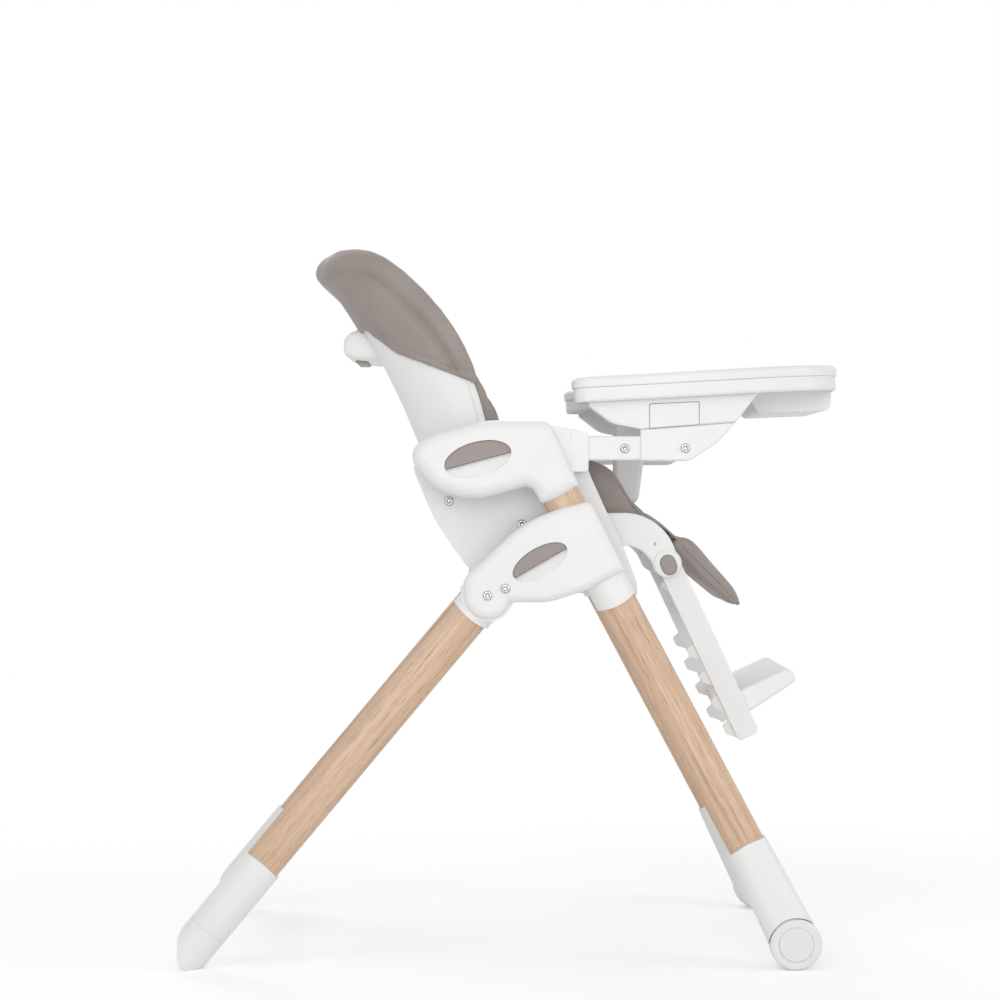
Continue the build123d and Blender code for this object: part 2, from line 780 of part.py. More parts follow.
# Tray: drawn flat in its own frame, then tilted
tray_at = Pos(tray_rear, 0, tray_low) * Rot(0, -tray_tilt, 0)
bite_radius = (bite_half**2 + bite_depth**2) / (2 * bite_depth)
plan = outline(
    (0, -tray_half, wing_corner),
    (tray_length, -tray_half, tray_corner),
    (tray_length, tray_half, tray_corner),
    (0, tray_half, wing_corner),
)
plan = plan - Pos(bite_depth - bite_radius, 0) * Circle(bite_radius)
tips = [v for v in plan.vertices() if abs(abs(v.Y) - bite_half) < 1]
plan = fillet(tips, wing_corner)
tray_top = Pos(0, 0, base_high + fit_gap) * extrude(plan, top_high - fit_gap)
tray_top = fillet(tray_top.edges().group_by(Axis.Z)[-1], top_round)
tray_top = fillet(tray_top.edges().group_by(Axis.Z)[0], top_edge)
dish = Pos(0, 0, base_high + top_high - dish_depth) * extrude(offset(plan, -dish_rim), dish_depth)
tray_top = tray_top - dish
add("tray_top", tray_at * tray_top)
base_plan = offset(plan, -base_inset)
tray_base = extrude(base_plan, base_high)
tray_base = fillet(tray_base.edges().group_by(Axis.Z)[0], base_round)
tray_base = tray_base - extrude(offset(base_plan, -deck), base_high - deck)
tray_base = tray_at * tray_base
under_deck = tray_at * Pos(0, 0, -far) * extrude(base_plan, far + base_high - 1)
skirt_side = outline(
    (98, 131, 0),
    (128, 108, 30),
    (*skirt_rear, 6),
    (*skirt_front, 10),
    (322, 150, 0),
    (322, 200, 0),
    (98, 200, 0),
)
skirt_slope = (skirt_front[1] - skirt_rear[1]) / (skirt_front[0] - skirt_rear[0])
lever_foot = skirt_rear[1] + skirt_slope * (tray_lever_rear - skirt_rear[0]) + run_gap
lever_rise = skirt_slope * (tray_lever_front - tray_lever_rear)
lever_panel = outline(
    (tray_lever_rear, lever_foot, 1),
    (tray_lever_rear, tray_lever_top[0], 3),
    (tray_lever_front, tray_lever_top[1], 3),
    (tray_lever_front, lever_foot + lever_rise, 1),
)
lever_gap = outline(
    (tray_lever_rear - run_gap, 0, 0),
    (tray_lever_rear - run_gap, tray_lever_top[0] + run_gap, 3),
    (tray_lever_front + run_gap, tray_lever_top[1] + run_gap, 3),
    (tray_lever_front + run_gap, 0, 0),
)
skirt = slab(skirt_side, skirt_in, skirt_out)
skirt = fillet(rims(skirt, skirt_out), skirt_round) & under_deck
lever_depth = tray_lever_thick + tray_lever_travel + run_gap
skirt = skirt - slab(lever_gap, skirt_out - lever_depth, skirt_out)
tray_base = tray_base + skirt + mirror(skirt, about=left)
apron_side = outline((318, 200, 0), (318, 147, 4), (332, 125, 10), (429, 129, 10), (431, 200, 0))
apron = slab(apron_side, -apron_half, apron_half) & under_deck
notch = Pos(*notch_at) * Box(*notch_size)
apron = apron - notch - mirror(notch, about=left)
add("tray_base", tray_base + apron)
tray_lever = slab(lever_panel, skirt_out - tray_lever_thick, skirt_out)
add_pair("tray_lever", fillet(rims(tray_lever, skirt_out), tray_lever_round))

# Tray arms that slide in the seat's sockets, and the brackets that hold them
arm_side = outline(
    (tray_arm_rear, tray_arm_low, 4),
    (tray_arm_rear, tray_arm_high, 4),
    (tray_arm_front, tray_arm_high, 0),
    (tray_arm_front, tray_arm_low, 0),
)
tray_arm = slab(arm_side, tray_arm_in, tray_arm_out)
tray_arm = fillet(rims(tray_arm, tray_arm_out) + rims(tray_arm, tray_arm_in), arm_edge)
add("tray_arms", both(tray_arm))
bracket_low = tray_arm_low - bracket_drop
bracket_side = outline(
    (*skirt_rear, 0),
    (*skirt_front, 0),
    (268, 84, 40),
    (232, bracket_low, 20),
    (skirt_rear[0], bracket_low, 0),
)
bracket_face = skirt_out - bracket_set_in
tray_bracket = slab(bracket_side, seat_half, bracket_face)
tray_bracket = fillet(rims(tray_bracket, bracket_face), bracket_round)
arm_seat = offset(make_face(arm_side.wire()), fit_gap)
tray_bracket = tray_bracket - slab(arm_seat, tray_arm_in - fit_gap, tray_arm_out + fit_gap)
add("tray_brackets", both(tray_bracket))
arm_screw = dome_screw(*arm_screw_at, tray_arm_out)
bracket_screw = dome_screw(*bracket_screw_at, bracket_face)
tray_screws = [arm_screw, bracket_screw, mirror(arm_screw, about=left), mirror(bracket_screw, about=left)]
add("tray_screws", Compound(children=tray_screws))

# Crotch post under the tray
post_side = outline(
    (140, 200, 0),
    (140, 18, 14),
    (152, 2, 14),
    (174, 2, 14),
    (181, 56, 60),
    (187, 130, 0),
    (187, 200, 0),
)
under_base = tray_at * Pos(0, 0, -far) * extrude(base_plan, far + base_high - deck)
post = slab(post_side, -post_half, post_half)
post = fillet(rims(post, post_half) + rims(post, -post_half), post_round) & under_base
add("crotch_post", post)

# Footrest: notched arms joined by a bar, and the footplate between them
foot = Leg(foot_pivot, foot_lean, 1)
arm_face_side = outline(
    (0, -foot_rear, 0), (0, foot_front, 0), (foot_length, foot_front, 9), (foot_length, -foot_rear, 4)
)
arm_face_side = arm_face_side + Circle(eye_radius)
foot_arm = extrude(foot.side(foot_arm_in) * arm_face_side, bracket_thick)
for step in range(notch_count):
    begin = rack_start + step * notch_pitch
    tooth = outline(
        (begin, -foot_rear + rack_root, 0),
        (begin + tooth_rise, -foot_rear - rack_depth, tooth_round),
        (begin + tooth_land, -foot_rear - rack_depth, tooth_round),
        (begin + notch_pitch - tooth_gap, -foot_rear + rack_root, 0),
    )
    foot_arm = foot_arm + extrude(foot.side(foot_arm_in) * tooth, rack_thick)
foot_arm = foot_arm - rod(*foot_pivot, foot_pin_radius + pin_gap, 0, 2 * leg_plane)
foot_bar = rod(*foot.point(foot_bar_at), foot_bar_radius, -foot_arm_in, foot_arm_in)
add("footrest_frame", foot_arm + foot_bar + mirror(foot_arm, about=left))
plate_half = foot_arm_in - run_gap
plate_side = outline(
    (197, -10, 6), (197, 84, 8), (205, 94, 8), (218, 92, 8), (228, 24, 10), (226, -10, 6)
)
footplate = extrude(foot.side(-plate_half) * plate_side, 2 * plate_half)
footplate = fillet(rims(footplate, plate_half) + rims(footplate, -plate_half), plate_round)
add("footplate", footplate)

# Calf flap: a cushion hinged in front of the seat
flap = Leg(flap_hinge, flap_lean, 1)
flap_side = outline(
    (-flap_eye, -flap_eye, flap_eye),
    (-flap_eye, flap_eye - 1, flap_eye - 1),
    (8, 16, 10),
    (100, 12, 60),
    (120, 3, 5),
    (108, -8, 12),
    (56, -11.5, 40),
)
calf_flap = extrude(flap.side(-flap_half) * flap_side, 2 * flap_half)
calf_flap = fillet(rims(calf_flap, flap_half) + rims(calf_flap, -flap_half), flap_soft)
add("calf_flap", calf_flap)
nodes["seat_pad"] = seat_pad - rod(*flap_hinge, flap_eye + soft_gap, -pad_half, pad_half)

# One file per piece
os.makedirs("parts", exist_ok=True)
for name, solid in nodes.items():
    export_step(Pos(0, 0, datum_height) * solid, f"parts/{name}.step")
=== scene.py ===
# %% [markdown]
# A folding high chair, dressed for its picture
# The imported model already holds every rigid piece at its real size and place. This lesson gives those
# pieces their finishes, softens their moulded edges, and models the upholstery that solids can't show.

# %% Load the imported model
import json
import math

import bmesh
import bpy
import numpy
from mathutils import Matrix, Vector, geometry


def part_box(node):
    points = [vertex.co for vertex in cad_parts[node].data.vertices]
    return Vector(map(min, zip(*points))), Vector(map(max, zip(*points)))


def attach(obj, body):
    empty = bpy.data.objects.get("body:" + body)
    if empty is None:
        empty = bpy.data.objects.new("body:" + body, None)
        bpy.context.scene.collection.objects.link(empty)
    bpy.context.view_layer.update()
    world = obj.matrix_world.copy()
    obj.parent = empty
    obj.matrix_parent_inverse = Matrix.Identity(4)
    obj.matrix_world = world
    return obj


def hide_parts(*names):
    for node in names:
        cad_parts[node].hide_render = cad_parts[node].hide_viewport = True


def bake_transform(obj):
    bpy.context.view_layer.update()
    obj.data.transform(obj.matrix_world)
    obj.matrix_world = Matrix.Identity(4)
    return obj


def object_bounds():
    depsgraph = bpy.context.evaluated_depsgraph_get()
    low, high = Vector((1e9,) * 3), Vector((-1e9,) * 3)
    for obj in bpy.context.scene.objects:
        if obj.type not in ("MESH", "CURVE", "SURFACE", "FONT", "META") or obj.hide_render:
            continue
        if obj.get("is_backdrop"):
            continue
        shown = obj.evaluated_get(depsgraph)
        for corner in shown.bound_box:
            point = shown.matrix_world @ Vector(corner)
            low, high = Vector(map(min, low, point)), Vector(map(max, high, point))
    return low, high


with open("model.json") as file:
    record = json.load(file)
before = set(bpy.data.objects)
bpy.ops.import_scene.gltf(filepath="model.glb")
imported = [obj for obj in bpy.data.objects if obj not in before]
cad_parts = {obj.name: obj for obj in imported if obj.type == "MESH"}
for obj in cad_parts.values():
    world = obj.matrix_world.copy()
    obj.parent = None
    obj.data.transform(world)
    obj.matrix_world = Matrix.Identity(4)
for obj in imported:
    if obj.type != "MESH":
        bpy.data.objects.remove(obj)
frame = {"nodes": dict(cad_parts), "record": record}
nodes = frame["nodes"]
cad_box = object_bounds()
print("nodes", len(nodes), "box", [round(side, 3) for side in cad_box[1] - cad_box[0]])

# %% [markdown]
# The camera
# The photograph is a level side view from far away, so the camera stands at about seat height, looks
# straight along +Y and has a long lens. A short lens would spread the two near feet too far apart.

# %% Camera
camera_place = (-0.018, -3.74, 0.608)
camera_lens = 96.4
film_width = 36
camera_data = bpy.data.cameras.new("side_camera")
camera_data.lens = camera_lens
camera_data.sensor_width = film_width
camera = bpy.data.objects.new("side_camera", camera_data)
camera.location = camera_place
camera.rotation_euler = (math.radians(90), 0, 0)
bpy.context.scene.collection.objects.link(camera)
bpy.context.scene.camera = camera
bpy.context.scene.view_settings.view_transform = "Standard"
print("camera at", camera_place)

# %% [markdown]
# Studio light
# White plastic on white paper needs soft light with a direction, or its edges vanish. A pale world fills
# the shadows, a wide lamp behind the camera opens the recesses, one above the camera's left gives the forms
# their shade, and smaller ones lift the front and the back. The room is white only for the eye: what the
# camera sees of the world has a strength of one, while the light on the chair stays at a plain level.


# %% Lamps
def soft_lamp(name, place, target, size, power):
    """A square lamp that looks at a target point."""
    lamp = bpy.data.lights.new(name, "AREA")
    lamp.size = size
    lamp.energy = power
    holder = bpy.data.objects.new(name, lamp)
    holder.location = place
    aim = Vector(target) - Vector(place)
    holder.rotation_euler = aim.to_track_quat("-Z", "Y").to_euler()
    bpy.context.scene.collection.objects.link(holder)
    return holder


seat_middle = (0.0, 0.0, 0.55)
soft_lamp("wide_lamp", (0.2, -4.6, 0.9), seat_middle, 2.6, 56)
soft_lamp("key_lamp", (-1.3, -2.4, 2.6), seat_middle, 1.8, 12)
soft_lamp("front_lamp", (2.6, -1.2, 1.5), seat_middle, 1.6, 11)
soft_lamp("back_lamp", (-0.6, 2.6, 2.4), seat_middle, 1.8, 20)
print("lamps", [lamp.name for lamp in bpy.data.lights])


# %% White room
def seen_mask(tree):
    """A value of 1 for what the camera sees straight, in a gloss or through glass."""
    path = tree.nodes.new("ShaderNodeLightPath")
    gloss = tree.nodes.new("ShaderNodeMath")
    gloss.operation = "MAXIMUM"
    tree.links.new(path.outputs["Is Camera Ray"], gloss.inputs[0])
    tree.links.new(path.outputs["Is Glossy Ray"], gloss.inputs[1])
    glass = tree.nodes.new("ShaderNodeMath")
    glass.operation = "MAXIMUM"
    tree.links.new(gloss.outputs[0], glass.inputs[0])
    tree.links.new(path.outputs["Is Transmission Ray"], glass.inputs[1])
    return glass.outputs[0]


world_fill = 0.58
world = bpy.data.worlds.new("white_room")
bpy.context.scene.world = world
world.use_nodes = True
room = world.node_tree
room_light = room.nodes["Background"]
room_light.inputs["Color"].default_value = (1, 1, 1, 1)
room_level = room.nodes.new("ShaderNodeMapRange")
room_level.inputs["To Min"].default_value = world_fill
room_level.inputs["To Max"].default_value = 1.0
room.links.new(seen_mask(room), room_level.inputs["Value"])
room.links.new(room_level.outputs["Result"], room_light.inputs["Strength"])
print("room light", world_fill)

# %% [markdown]
# The paper floor
# A disc of paper catches the soft shadows of the feet. Its own glow, which only the camera and reflections
# see, brings the lit paper up to almost white. Further out the paper fades into a plain white glow, so that
# it has no horizon.

# %% Floor
floor_radius = 30.0
floor_sides = 96
floor_shape = bmesh.new()
bmesh.ops.create_circle(floor_shape, cap_ends=True, segments=floor_sides, radius=floor_radius)
floor_mesh = bpy.data.meshes.new("paper_floor")
floor_shape.to_mesh(floor_mesh)
floor_shape.free()
floor = bpy.data.objects.new("paper_floor", floor_mesh)
bpy.context.scene.collection.objects.link(floor)
floor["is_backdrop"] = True
print("floor radius", floor_radius)

# %% Paper
paper_colour = (0.86, 0.86, 0.86, 1)
paper_glow = 0.29
paper_roughness = 0.9
fade_start = 0.75
fade_end = 1.5
paper = bpy.data.materials.new("paper")
paper.use_nodes = True
paper_tree = paper.node_tree
paper_skin = paper_tree.nodes["Principled BSDF"]
paper_skin.inputs["Base Color"].default_value = paper_colour
paper_skin.inputs["Roughness"].default_value = paper_roughness
paper_skin.inputs["Specular IOR Level"].default_value = 0.0
paper_skin.inputs["Emission Color"].default_value = (1, 1, 1, 1)
paper_seen = seen_mask(paper_tree)
paper_level = paper_tree.nodes.new("ShaderNodeMath")
paper_level.operation = "MULTIPLY"
paper_level.inputs[1].default_value = paper_glow
paper_tree.links.new(paper_seen, paper_level.inputs[0])
paper_tree.links.new(paper_level.outputs[0], paper_skin.inputs["Emission Strength"])
paper_place = paper_tree.nodes.new("ShaderNodeTexCoord")
paper_reach = paper_tree.nodes.new("ShaderNodeVectorMath")
paper_reach.operation = "LENGTH"
paper_tree.links.new(paper_place.outputs["Object"], paper_reach.inputs[0])
paper_fade = paper_tree.nodes.new("ShaderNodeMapRange")
paper_fade.interpolation_type = "SMOOTHSTEP"
paper_fade.inputs["From Min"].default_value = fade_start
paper_fade.inputs["From Max"].default_value = fade_end
paper_tree.links.new(paper_reach.outputs["Value"], paper_fade.inputs["Value"])
paper_far = paper_tree.nodes.new("ShaderNodeMath")
paper_far.operation = "MULTIPLY"
paper_tree.links.new(paper_fade.outputs["Result"], paper_far.inputs[0])
paper_tree.links.new(paper_seen, paper_far.inputs[1])
paper_white = paper_tree.nodes.new("ShaderNodeEmission")
paper_mix = paper_tree.nodes.new("ShaderNodeMixShader")
paper_tree.links.new(paper_far.outputs[0], paper_mix.inputs["Fac"])
paper_tree.links.new(paper_skin.outputs["BSDF"], paper_mix.inputs[1])
paper_tree.links.new(paper_white.outputs["Emission"], paper_mix.inputs[2])
paper_tree.links.new(paper_mix.outputs["Shader"], paper_tree.nodes["Material Output"].inputs["Surface"])
floor_mesh.materials.append(paper)
print("paper fades from", fade_start, "to", fade_end)

# %% [markdown]
# Shared effects
# The fine spark-eroded skin of moulded plastic and the grain of oak foil come back in several finishes, so
# each is a node group, built once. The pebble of leatherette is made the same way. Each group takes a point
# in metres and puts out only what changes over the surface.


# %% Node group helpers
def effect(name, inputs, outputs):
    """An empty shader group with a vector input, float inputs and named outputs."""
    group = bpy.data.node_groups.new(name, "ShaderNodeTree")
    group.interface.new_socket("Vector", in_out="INPUT", socket_type="NodeSocketVector")
    for socket, value in inputs.items():
        made = group.interface.new_socket(socket, in_out="INPUT", socket_type="NodeSocketFloat")
        made.default_value = value
    for socket, kind in outputs.items():
        group.interface.new_socket(socket, in_out="OUTPUT", socket_type=kind)
    start = group.nodes.new("NodeGroupInput")
    end = group.nodes.new("NodeGroupOutput")
    return group, start, end


def noise_node(tree, vector, scale, detail=2.0, rough=0.5):
    """A noise texture that reads a vector socket."""
    texture = tree.nodes.new("ShaderNodeTexNoise")
    texture.inputs["Scale"].default_value = scale
    texture.inputs["Detail"].default_value = detail
    texture.inputs["Roughness"].default_value = rough
    tree.links.new(vector, texture.inputs["Vector"])
    return texture.outputs["Fac"]


def stretch(tree, vector, scale, turn=(0, 0, 0), shift=(0, 0, 0)):
    """A point mapped by a scale, a turn in degrees and a shift."""
    mapping = tree.nodes.new("ShaderNodeMapping")
    mapping.inputs["Scale"].default_value = scale
    mapping.inputs["Rotation"].default_value = [math.radians(angle) for angle in turn]
    mapping.inputs["Location"].default_value = shift
    tree.links.new(vector, mapping.inputs["Vector"])
    return mapping.outputs["Vector"]


def fit(tree, value, low, high, new_low, new_high):
    """A value brought from one range to another."""
    ranged = tree.nodes.new("ShaderNodeMapRange")
    for socket, number in zip(("From Min", "From Max", "To Min", "To Max"), (low, high, new_low, new_high)):
        ranged.inputs[socket].default_value = number
    tree.links.new(value, ranged.inputs["Value"])
    return ranged.outputs["Result"]


def reckon(tree, operation, first, second):
    """A math node on two sockets or numbers."""
    sum_node = tree.nodes.new("ShaderNodeMath")
    sum_node.operation = operation
    for socket, given in zip(sum_node.inputs, (first, second)):
        if isinstance(given, (int, float)):
            socket.default_value = given
        else:
            tree.links.new(given, socket)
    return sum_node.outputs[0]


def ramp(tree, value, *stops):
    """A colour ramp with (place, colour) stops."""
    scale = tree.nodes.new("ShaderNodeValToRGB")
    marks = scale.color_ramp.elements
    while len(marks) < len(stops):
        marks.new(1.0)
    for mark, (place, colour) in zip(marks, stops):
        mark.position = place
        mark.color = (*colour, 1)
    tree.links.new(value, scale.inputs["Fac"])
    return scale.outputs["Color"]


# %% Moulded skin
colour_socket = "NodeSocketColor"
value_socket = "NodeSocketFloat"
moulded_skin, skin_in, skin_out = effect(
    "moulded_skin",
    {"Gloss Low": 0.3, "Gloss High": 0.45},
    {"Roughness": value_socket, "Height": value_socket},
)
skin_point = skin_in.outputs["Vector"]
skin_cloud_scale = 9.0
skin_grit_scale = 1800.0
skin_cloud = noise_node(moulded_skin, skin_point, skin_cloud_scale, 3.0)
skin_grit = noise_node(moulded_skin, skin_point, skin_grit_scale, 1.0)
skin_range = moulded_skin.nodes.new("ShaderNodeMapRange")
skin_range.inputs["From Min"].default_value = 0.3
skin_range.inputs["From Max"].default_value = 0.7
moulded_skin.links.new(skin_cloud, skin_range.inputs["Value"])
moulded_skin.links.new(skin_in.outputs["Gloss Low"], skin_range.inputs["To Min"])
moulded_skin.links.new(skin_in.outputs["Gloss High"], skin_range.inputs["To Max"])
moulded_skin.links.new(skin_range.outputs["Result"], skin_out.inputs["Roughness"])
moulded_skin.links.new(skin_grit, skin_out.inputs["Height"])
print("effect", moulded_skin.name)

# %% Oak grain
# Each scale is a number of cells in a metre: first along the grain, then twice across it.
sway_scale = (2.0, 14.0, 14.0)
band_scale = (2.5, 95.0, 95.0)
pore_scale = (28.0, 900.0, 900.0)
line_scale = (7.0, 330.0, 330.0)
oak_grain, oak_in, oak_out = effect(
    "oak_grain",
    {},
    {"Color": colour_socket, "Roughness": value_socket, "Height": value_socket},
)
oak_point = oak_in.outputs["Vector"]
oak_sway = noise_node(oak_grain, stretch(oak_grain, oak_point, sway_scale), 1.0, 2.0)
oak_bands = noise_node(oak_grain, stretch(oak_grain, oak_point, band_scale), 1.0, 3.0, 0.6)
oak_pores = noise_node(oak_grain, stretch(oak_grain, oak_point, pore_scale), 1.0, 2.0, 0.6)
oak_lines = noise_node(oak_grain, stretch(oak_grain, oak_point, line_scale), 1.0, 3.0, 0.65)
oak_wide = reckon(oak_grain, "MULTIPLY", oak_bands, 0.5)
oak_fine = reckon(oak_grain, "MULTIPLY", oak_lines, 0.5)
oak_drift = reckon(oak_grain, "MULTIPLY", reckon(oak_grain, "SUBTRACT", oak_sway, 0.5), 0.25)
oak_tone = reckon(oak_grain, "ADD", reckon(oak_grain, "ADD", oak_wide, oak_fine), oak_drift)
oak_base = ramp(
    oak_grain,
    oak_tone,
    (0.34, (0.54, 0.35, 0.235)),
    (0.46, (0.67, 0.465, 0.32)),
    (0.58, (0.75, 0.54, 0.385)),
    (0.70, (0.80, 0.60, 0.45)),
)
pore_mask = fit(oak_grain, oak_pores, 0.30, 0.42, 0.0, 1.0)
pore_mix = oak_grain.nodes.new("ShaderNodeMix")
pore_mix.data_type = "RGBA"
pore_mix.inputs["A"].default_value = (0.42, 0.265, 0.165, 1)
oak_grain.links.new(pore_mask, pore_mix.inputs["Factor"])
oak_grain.links.new(oak_base, pore_mix.inputs["B"])
oak_grain.links.new(pore_mix.outputs["Result"], oak_out.inputs["Color"])
oak_grain.links.new(fit(oak_grain, oak_lines, 0.3, 0.7, 0.52, 0.42), oak_out.inputs["Roughness"])
oak_grain.links.new(reckon(oak_grain, "MULTIPLY", pore_mask, oak_lines), oak_out.inputs["Height"])
print("effect", oak_grain.name)

# %% Leather pebble
hide_cloud_scale = 14.0
leather_pebble, hide_in, hide_out = effect(
    "leather_pebble",
    {"Pebbles": 700.0},
    {"Tone": value_socket, "Roughness": value_socket, "Height": value_socket},
)
hide_point = hide_in.outputs["Vector"]
hide_cells = leather_pebble.nodes.new("ShaderNodeTexVoronoi")
hide_cells.feature = "SMOOTH_F1"
hide_cells.inputs["Smoothness"].default_value = 0.6
leather_pebble.links.new(hide_point, hide_cells.inputs["Vector"])
leather_pebble.links.new(hide_in.outputs["Pebbles"], hide_cells.inputs["Scale"])
hide_cell = hide_cells.outputs["Distance"]
hide_cloud = noise_node(leather_pebble, hide_point, hide_cloud_scale, 4.0, 0.6)
leather_pebble.links.new(fit(leather_pebble, hide_cloud, 0.3, 0.7, 0.0, 1.0), hide_out.inputs["Tone"])
leather_pebble.links.new(fit(leather_pebble, hide_cell, 0.0, 0.8, 0.46, 0.62), hide_out.inputs["Roughness"])
leather_pebble.links.new(hide_cell, hide_out.inputs["Height"])
print("groups", [group.name for group in bpy.data.node_groups])

# %% [markdown]
# Finishes
# Each finish is one Principled surface. Colours are written as the real surface's own colour, so that they
# look right under any light; the shade comes from the lamps. Patterns read Object coordinates, which are
# metres here, so that a pattern has its real size on every piece.


# %% Helpers for finishes
def finish_base(name):
    """A material with its tree, its Principled node and the point it is drawn on."""
    material = bpy.data.materials.new(name)
    material.use_nodes = True
    tree = material.node_tree
    point = tree.nodes.new("ShaderNodeTexCoord").outputs["Object"]
    return material, tree, tree.nodes["Principled BSDF"], point


def place_group(tree, group, point):
    """A node group placed in a material and fed with a point."""
    placed = tree.nodes.new("ShaderNodeGroup")
    placed.node_tree = group
    tree.links.new(point, placed.inputs["Vector"])
    return placed


def bump(tree, surface, height, depth, strength=1.0, edge=0.0):
    """Fine relief from a height socket, its depth in metres, over edges softened by a radius."""
    relief = tree.nodes.new("ShaderNodeBump")
    if edge > 0:
        soft_edge = tree.nodes.new("ShaderNodeBevel")
        soft_edge.samples = 6
        soft_edge.inputs["Radius"].default_value = edge
        tree.links.new(soft_edge.outputs["Normal"], relief.inputs["Normal"])
    relief.inputs["Distance"].default_value = depth
    relief.inputs["Strength"].default_value = strength
    tree.links.new(height, relief.inputs["Height"])
    tree.links.new(relief.outputs["Normal"], surface.inputs["Normal"])


# %% [markdown]
# Moulded plastic
# The shells, hubs, feet, wheels and tray are mouldings: one colour all through, a fine matt skin and
# slightly rounded edges. One flat colour would look like a drawing, so a faint cloud varies the tone and
# the gloss. A bevel node rounds the edges in the shading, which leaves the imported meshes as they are.

# %% Moulded plastic
moulded_edge = 0.0012
moulded_shade = 0.965
moulded_cloud = 5.0


def moulded(name, colour, gloss_low, gloss_high, depth):
    """Moulded plastic: one colour, a faint cloud in its gloss and a fine skin."""
    material, tree, surface, point = finish_base(name)
    skin = place_group(tree, moulded_skin, point)
    skin.inputs["Gloss Low"].default_value = gloss_low
    skin.inputs["Gloss High"].default_value = gloss_high
    cloud = noise_node(tree, point, moulded_cloud, 2.0)
    darker = tuple(moulded_shade * channel for channel in colour)
    tree.links.new(ramp(tree, cloud, (0.35, darker), (0.65, colour)), surface.inputs["Base Color"])
    tree.links.new(skin.outputs["Roughness"], surface.inputs["Roughness"])
    bump(tree, surface, skin.outputs["Height"], depth, edge=moulded_edge)
    return material


white_plastic = moulded("white_moulding", (0.87, 0.87, 0.865), 0.34, 0.46, 0.00004)
wheel_plastic = moulded("wheel_moulding", (0.83, 0.83, 0.83), 0.42, 0.55, 0.00005)
taupe_plastic = moulded("taupe_moulding", (0.345, 0.295, 0.272), 0.45, 0.58, 0.00006)
print("finishes", white_plastic.name, wheel_plastic.name, taupe_plastic.name)

# %% [markdown]
# Oak foil
# The legs are posts with a wood-look foil, its grain along the leg. Noise that is stretched along the leg
# gives such a grain without an end or a seam, which a picture wrapped round it would have. The front and
# rear legs lean differently, so each pair has a material that turns the pattern to its own lean.

# %% Oak foil
pore_depth = 0.00025


def oak(name, lean, shift):
    """Oak foil whose grain runs along a leg that leans about Y."""
    material, tree, surface, point = finish_base(name)
    along = stretch(tree, point, (1, 1, 1), (0, lean, 0), shift)
    grain = place_group(tree, oak_grain, along)
    tree.links.new(grain.outputs["Color"], surface.inputs["Base Color"])
    tree.links.new(grain.outputs["Roughness"], surface.inputs["Roughness"])
    surface.inputs["Specular IOR Level"].default_value = 0.4
    bump(tree, surface, grain.outputs["Height"], pore_depth)
    return material


front_leg_lean = 28.0
rear_leg_lean = -39.9
oak_front = oak("oak_front_legs", 90 + front_leg_lean, (0.31, 0.13, 0.07))
oak_rear = oak("oak_rear_legs", 90 + rear_leg_lean, (0.77, 0.29, 0.11))
print("finishes", oak_front.name, oak_rear.name)

# %% [markdown]
# Leatherette
# The pads, the hood and the calf flap are covered with coated cloth that looks like leather. Its pebbles are
# about a millimetre and a half wide. To model them would take millions of faces, so they are a bump from
# smooth Voronoi cells. A slight sheen gives the soft edge that cloth has.

# %% Leatherette
hide_shade = 0.9
hide_light = 1.06
pebble_depth = 0.0003
pebble_strength = 0.5


def leatherette(name, colour):
    """Soft coated cloth with a pebbled skin and a slight sheen."""
    material, tree, surface, point = finish_base(name)
    pebble = place_group(tree, leather_pebble, point)
    darker = tuple(hide_shade * channel for channel in colour)
    lighter = tuple(hide_light * channel for channel in colour)
    tone = ramp(tree, pebble.outputs["Tone"], (0.0, darker), (1.0, lighter))
    tree.links.new(tone, surface.inputs["Base Color"])
    tree.links.new(pebble.outputs["Roughness"], surface.inputs["Roughness"])
    surface.inputs["Sheen Weight"].default_value = 0.15
    surface.inputs["Sheen Roughness"].default_value = 0.5
    bump(tree, surface, pebble.outputs["Height"], pebble_depth, pebble_strength)
    return material


hide = leatherette("taupe_leatherette", (0.325, 0.278, 0.256))
print("finish", hide.name)

# %% [markdown]
# Plated steel
# Screws, bolts and pins are plated steel. A metal shows mostly what it mirrors, so its gloss matters more
# than its colour, and faint polishing marks vary it.

# %% Plated steel
polish_scale = (400.0, 400.0, 2500.0)


def polished(name, colour, gloss_low, gloss_high):
    """Plated steel with faint polishing marks."""
    material, tree, surface, point = finish_base(name)
    surface.inputs["Base Color"].default_value = (*colour, 1)
    surface.inputs["Metallic"].default_value = 1.0
    marks = noise_node(tree, stretch(tree, point, polish_scale), 1.0, 2.0)
    tree.links.new(fit(tree, marks, 0.3, 0.7, gloss_low, gloss_high), surface.inputs["Roughness"])
    return material


plated = polished("plated_steel", (0.46, 0.46, 0.47), 0.16, 0.28)
print("finish", plated.name)

# %% [markdown]
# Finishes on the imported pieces
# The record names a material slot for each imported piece. Every piece gets the finish of its slot, and each
# leg the finish of its pair.

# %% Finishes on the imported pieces
slot_finish = {
    "white_plastic": white_plastic,
    "wheel_plastic": wheel_plastic,
    "taupe_plastic": taupe_plastic,
    "leatherette": hide,
    "steel": plated,
}
for subpart in frame["record"]["subparts"]:
    node = subpart["node"]
    slot = subpart["material_slot"]
    if slot == "wood":
        made_of = oak_front if node.startswith("front") else oak_rear
    else:
        made_of = slot_finish[slot]
    nodes[node].data.materials.clear()
    nodes[node].data.materials.append(made_of)
print("finishes", len(bpy.data.materials))

# %% [markdown]
# Upholstery
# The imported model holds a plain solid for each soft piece. On the real chair these are foam covered with
# sewn leatherette: air and foam push the skin out, and the seams hold it back. So each piece starts as a
# copy of its solid, meshed again in even squares, because a simulation and vertex moves need points that are
# spread evenly. A pad also starts a little smaller than its solid, since it swells afterwards.


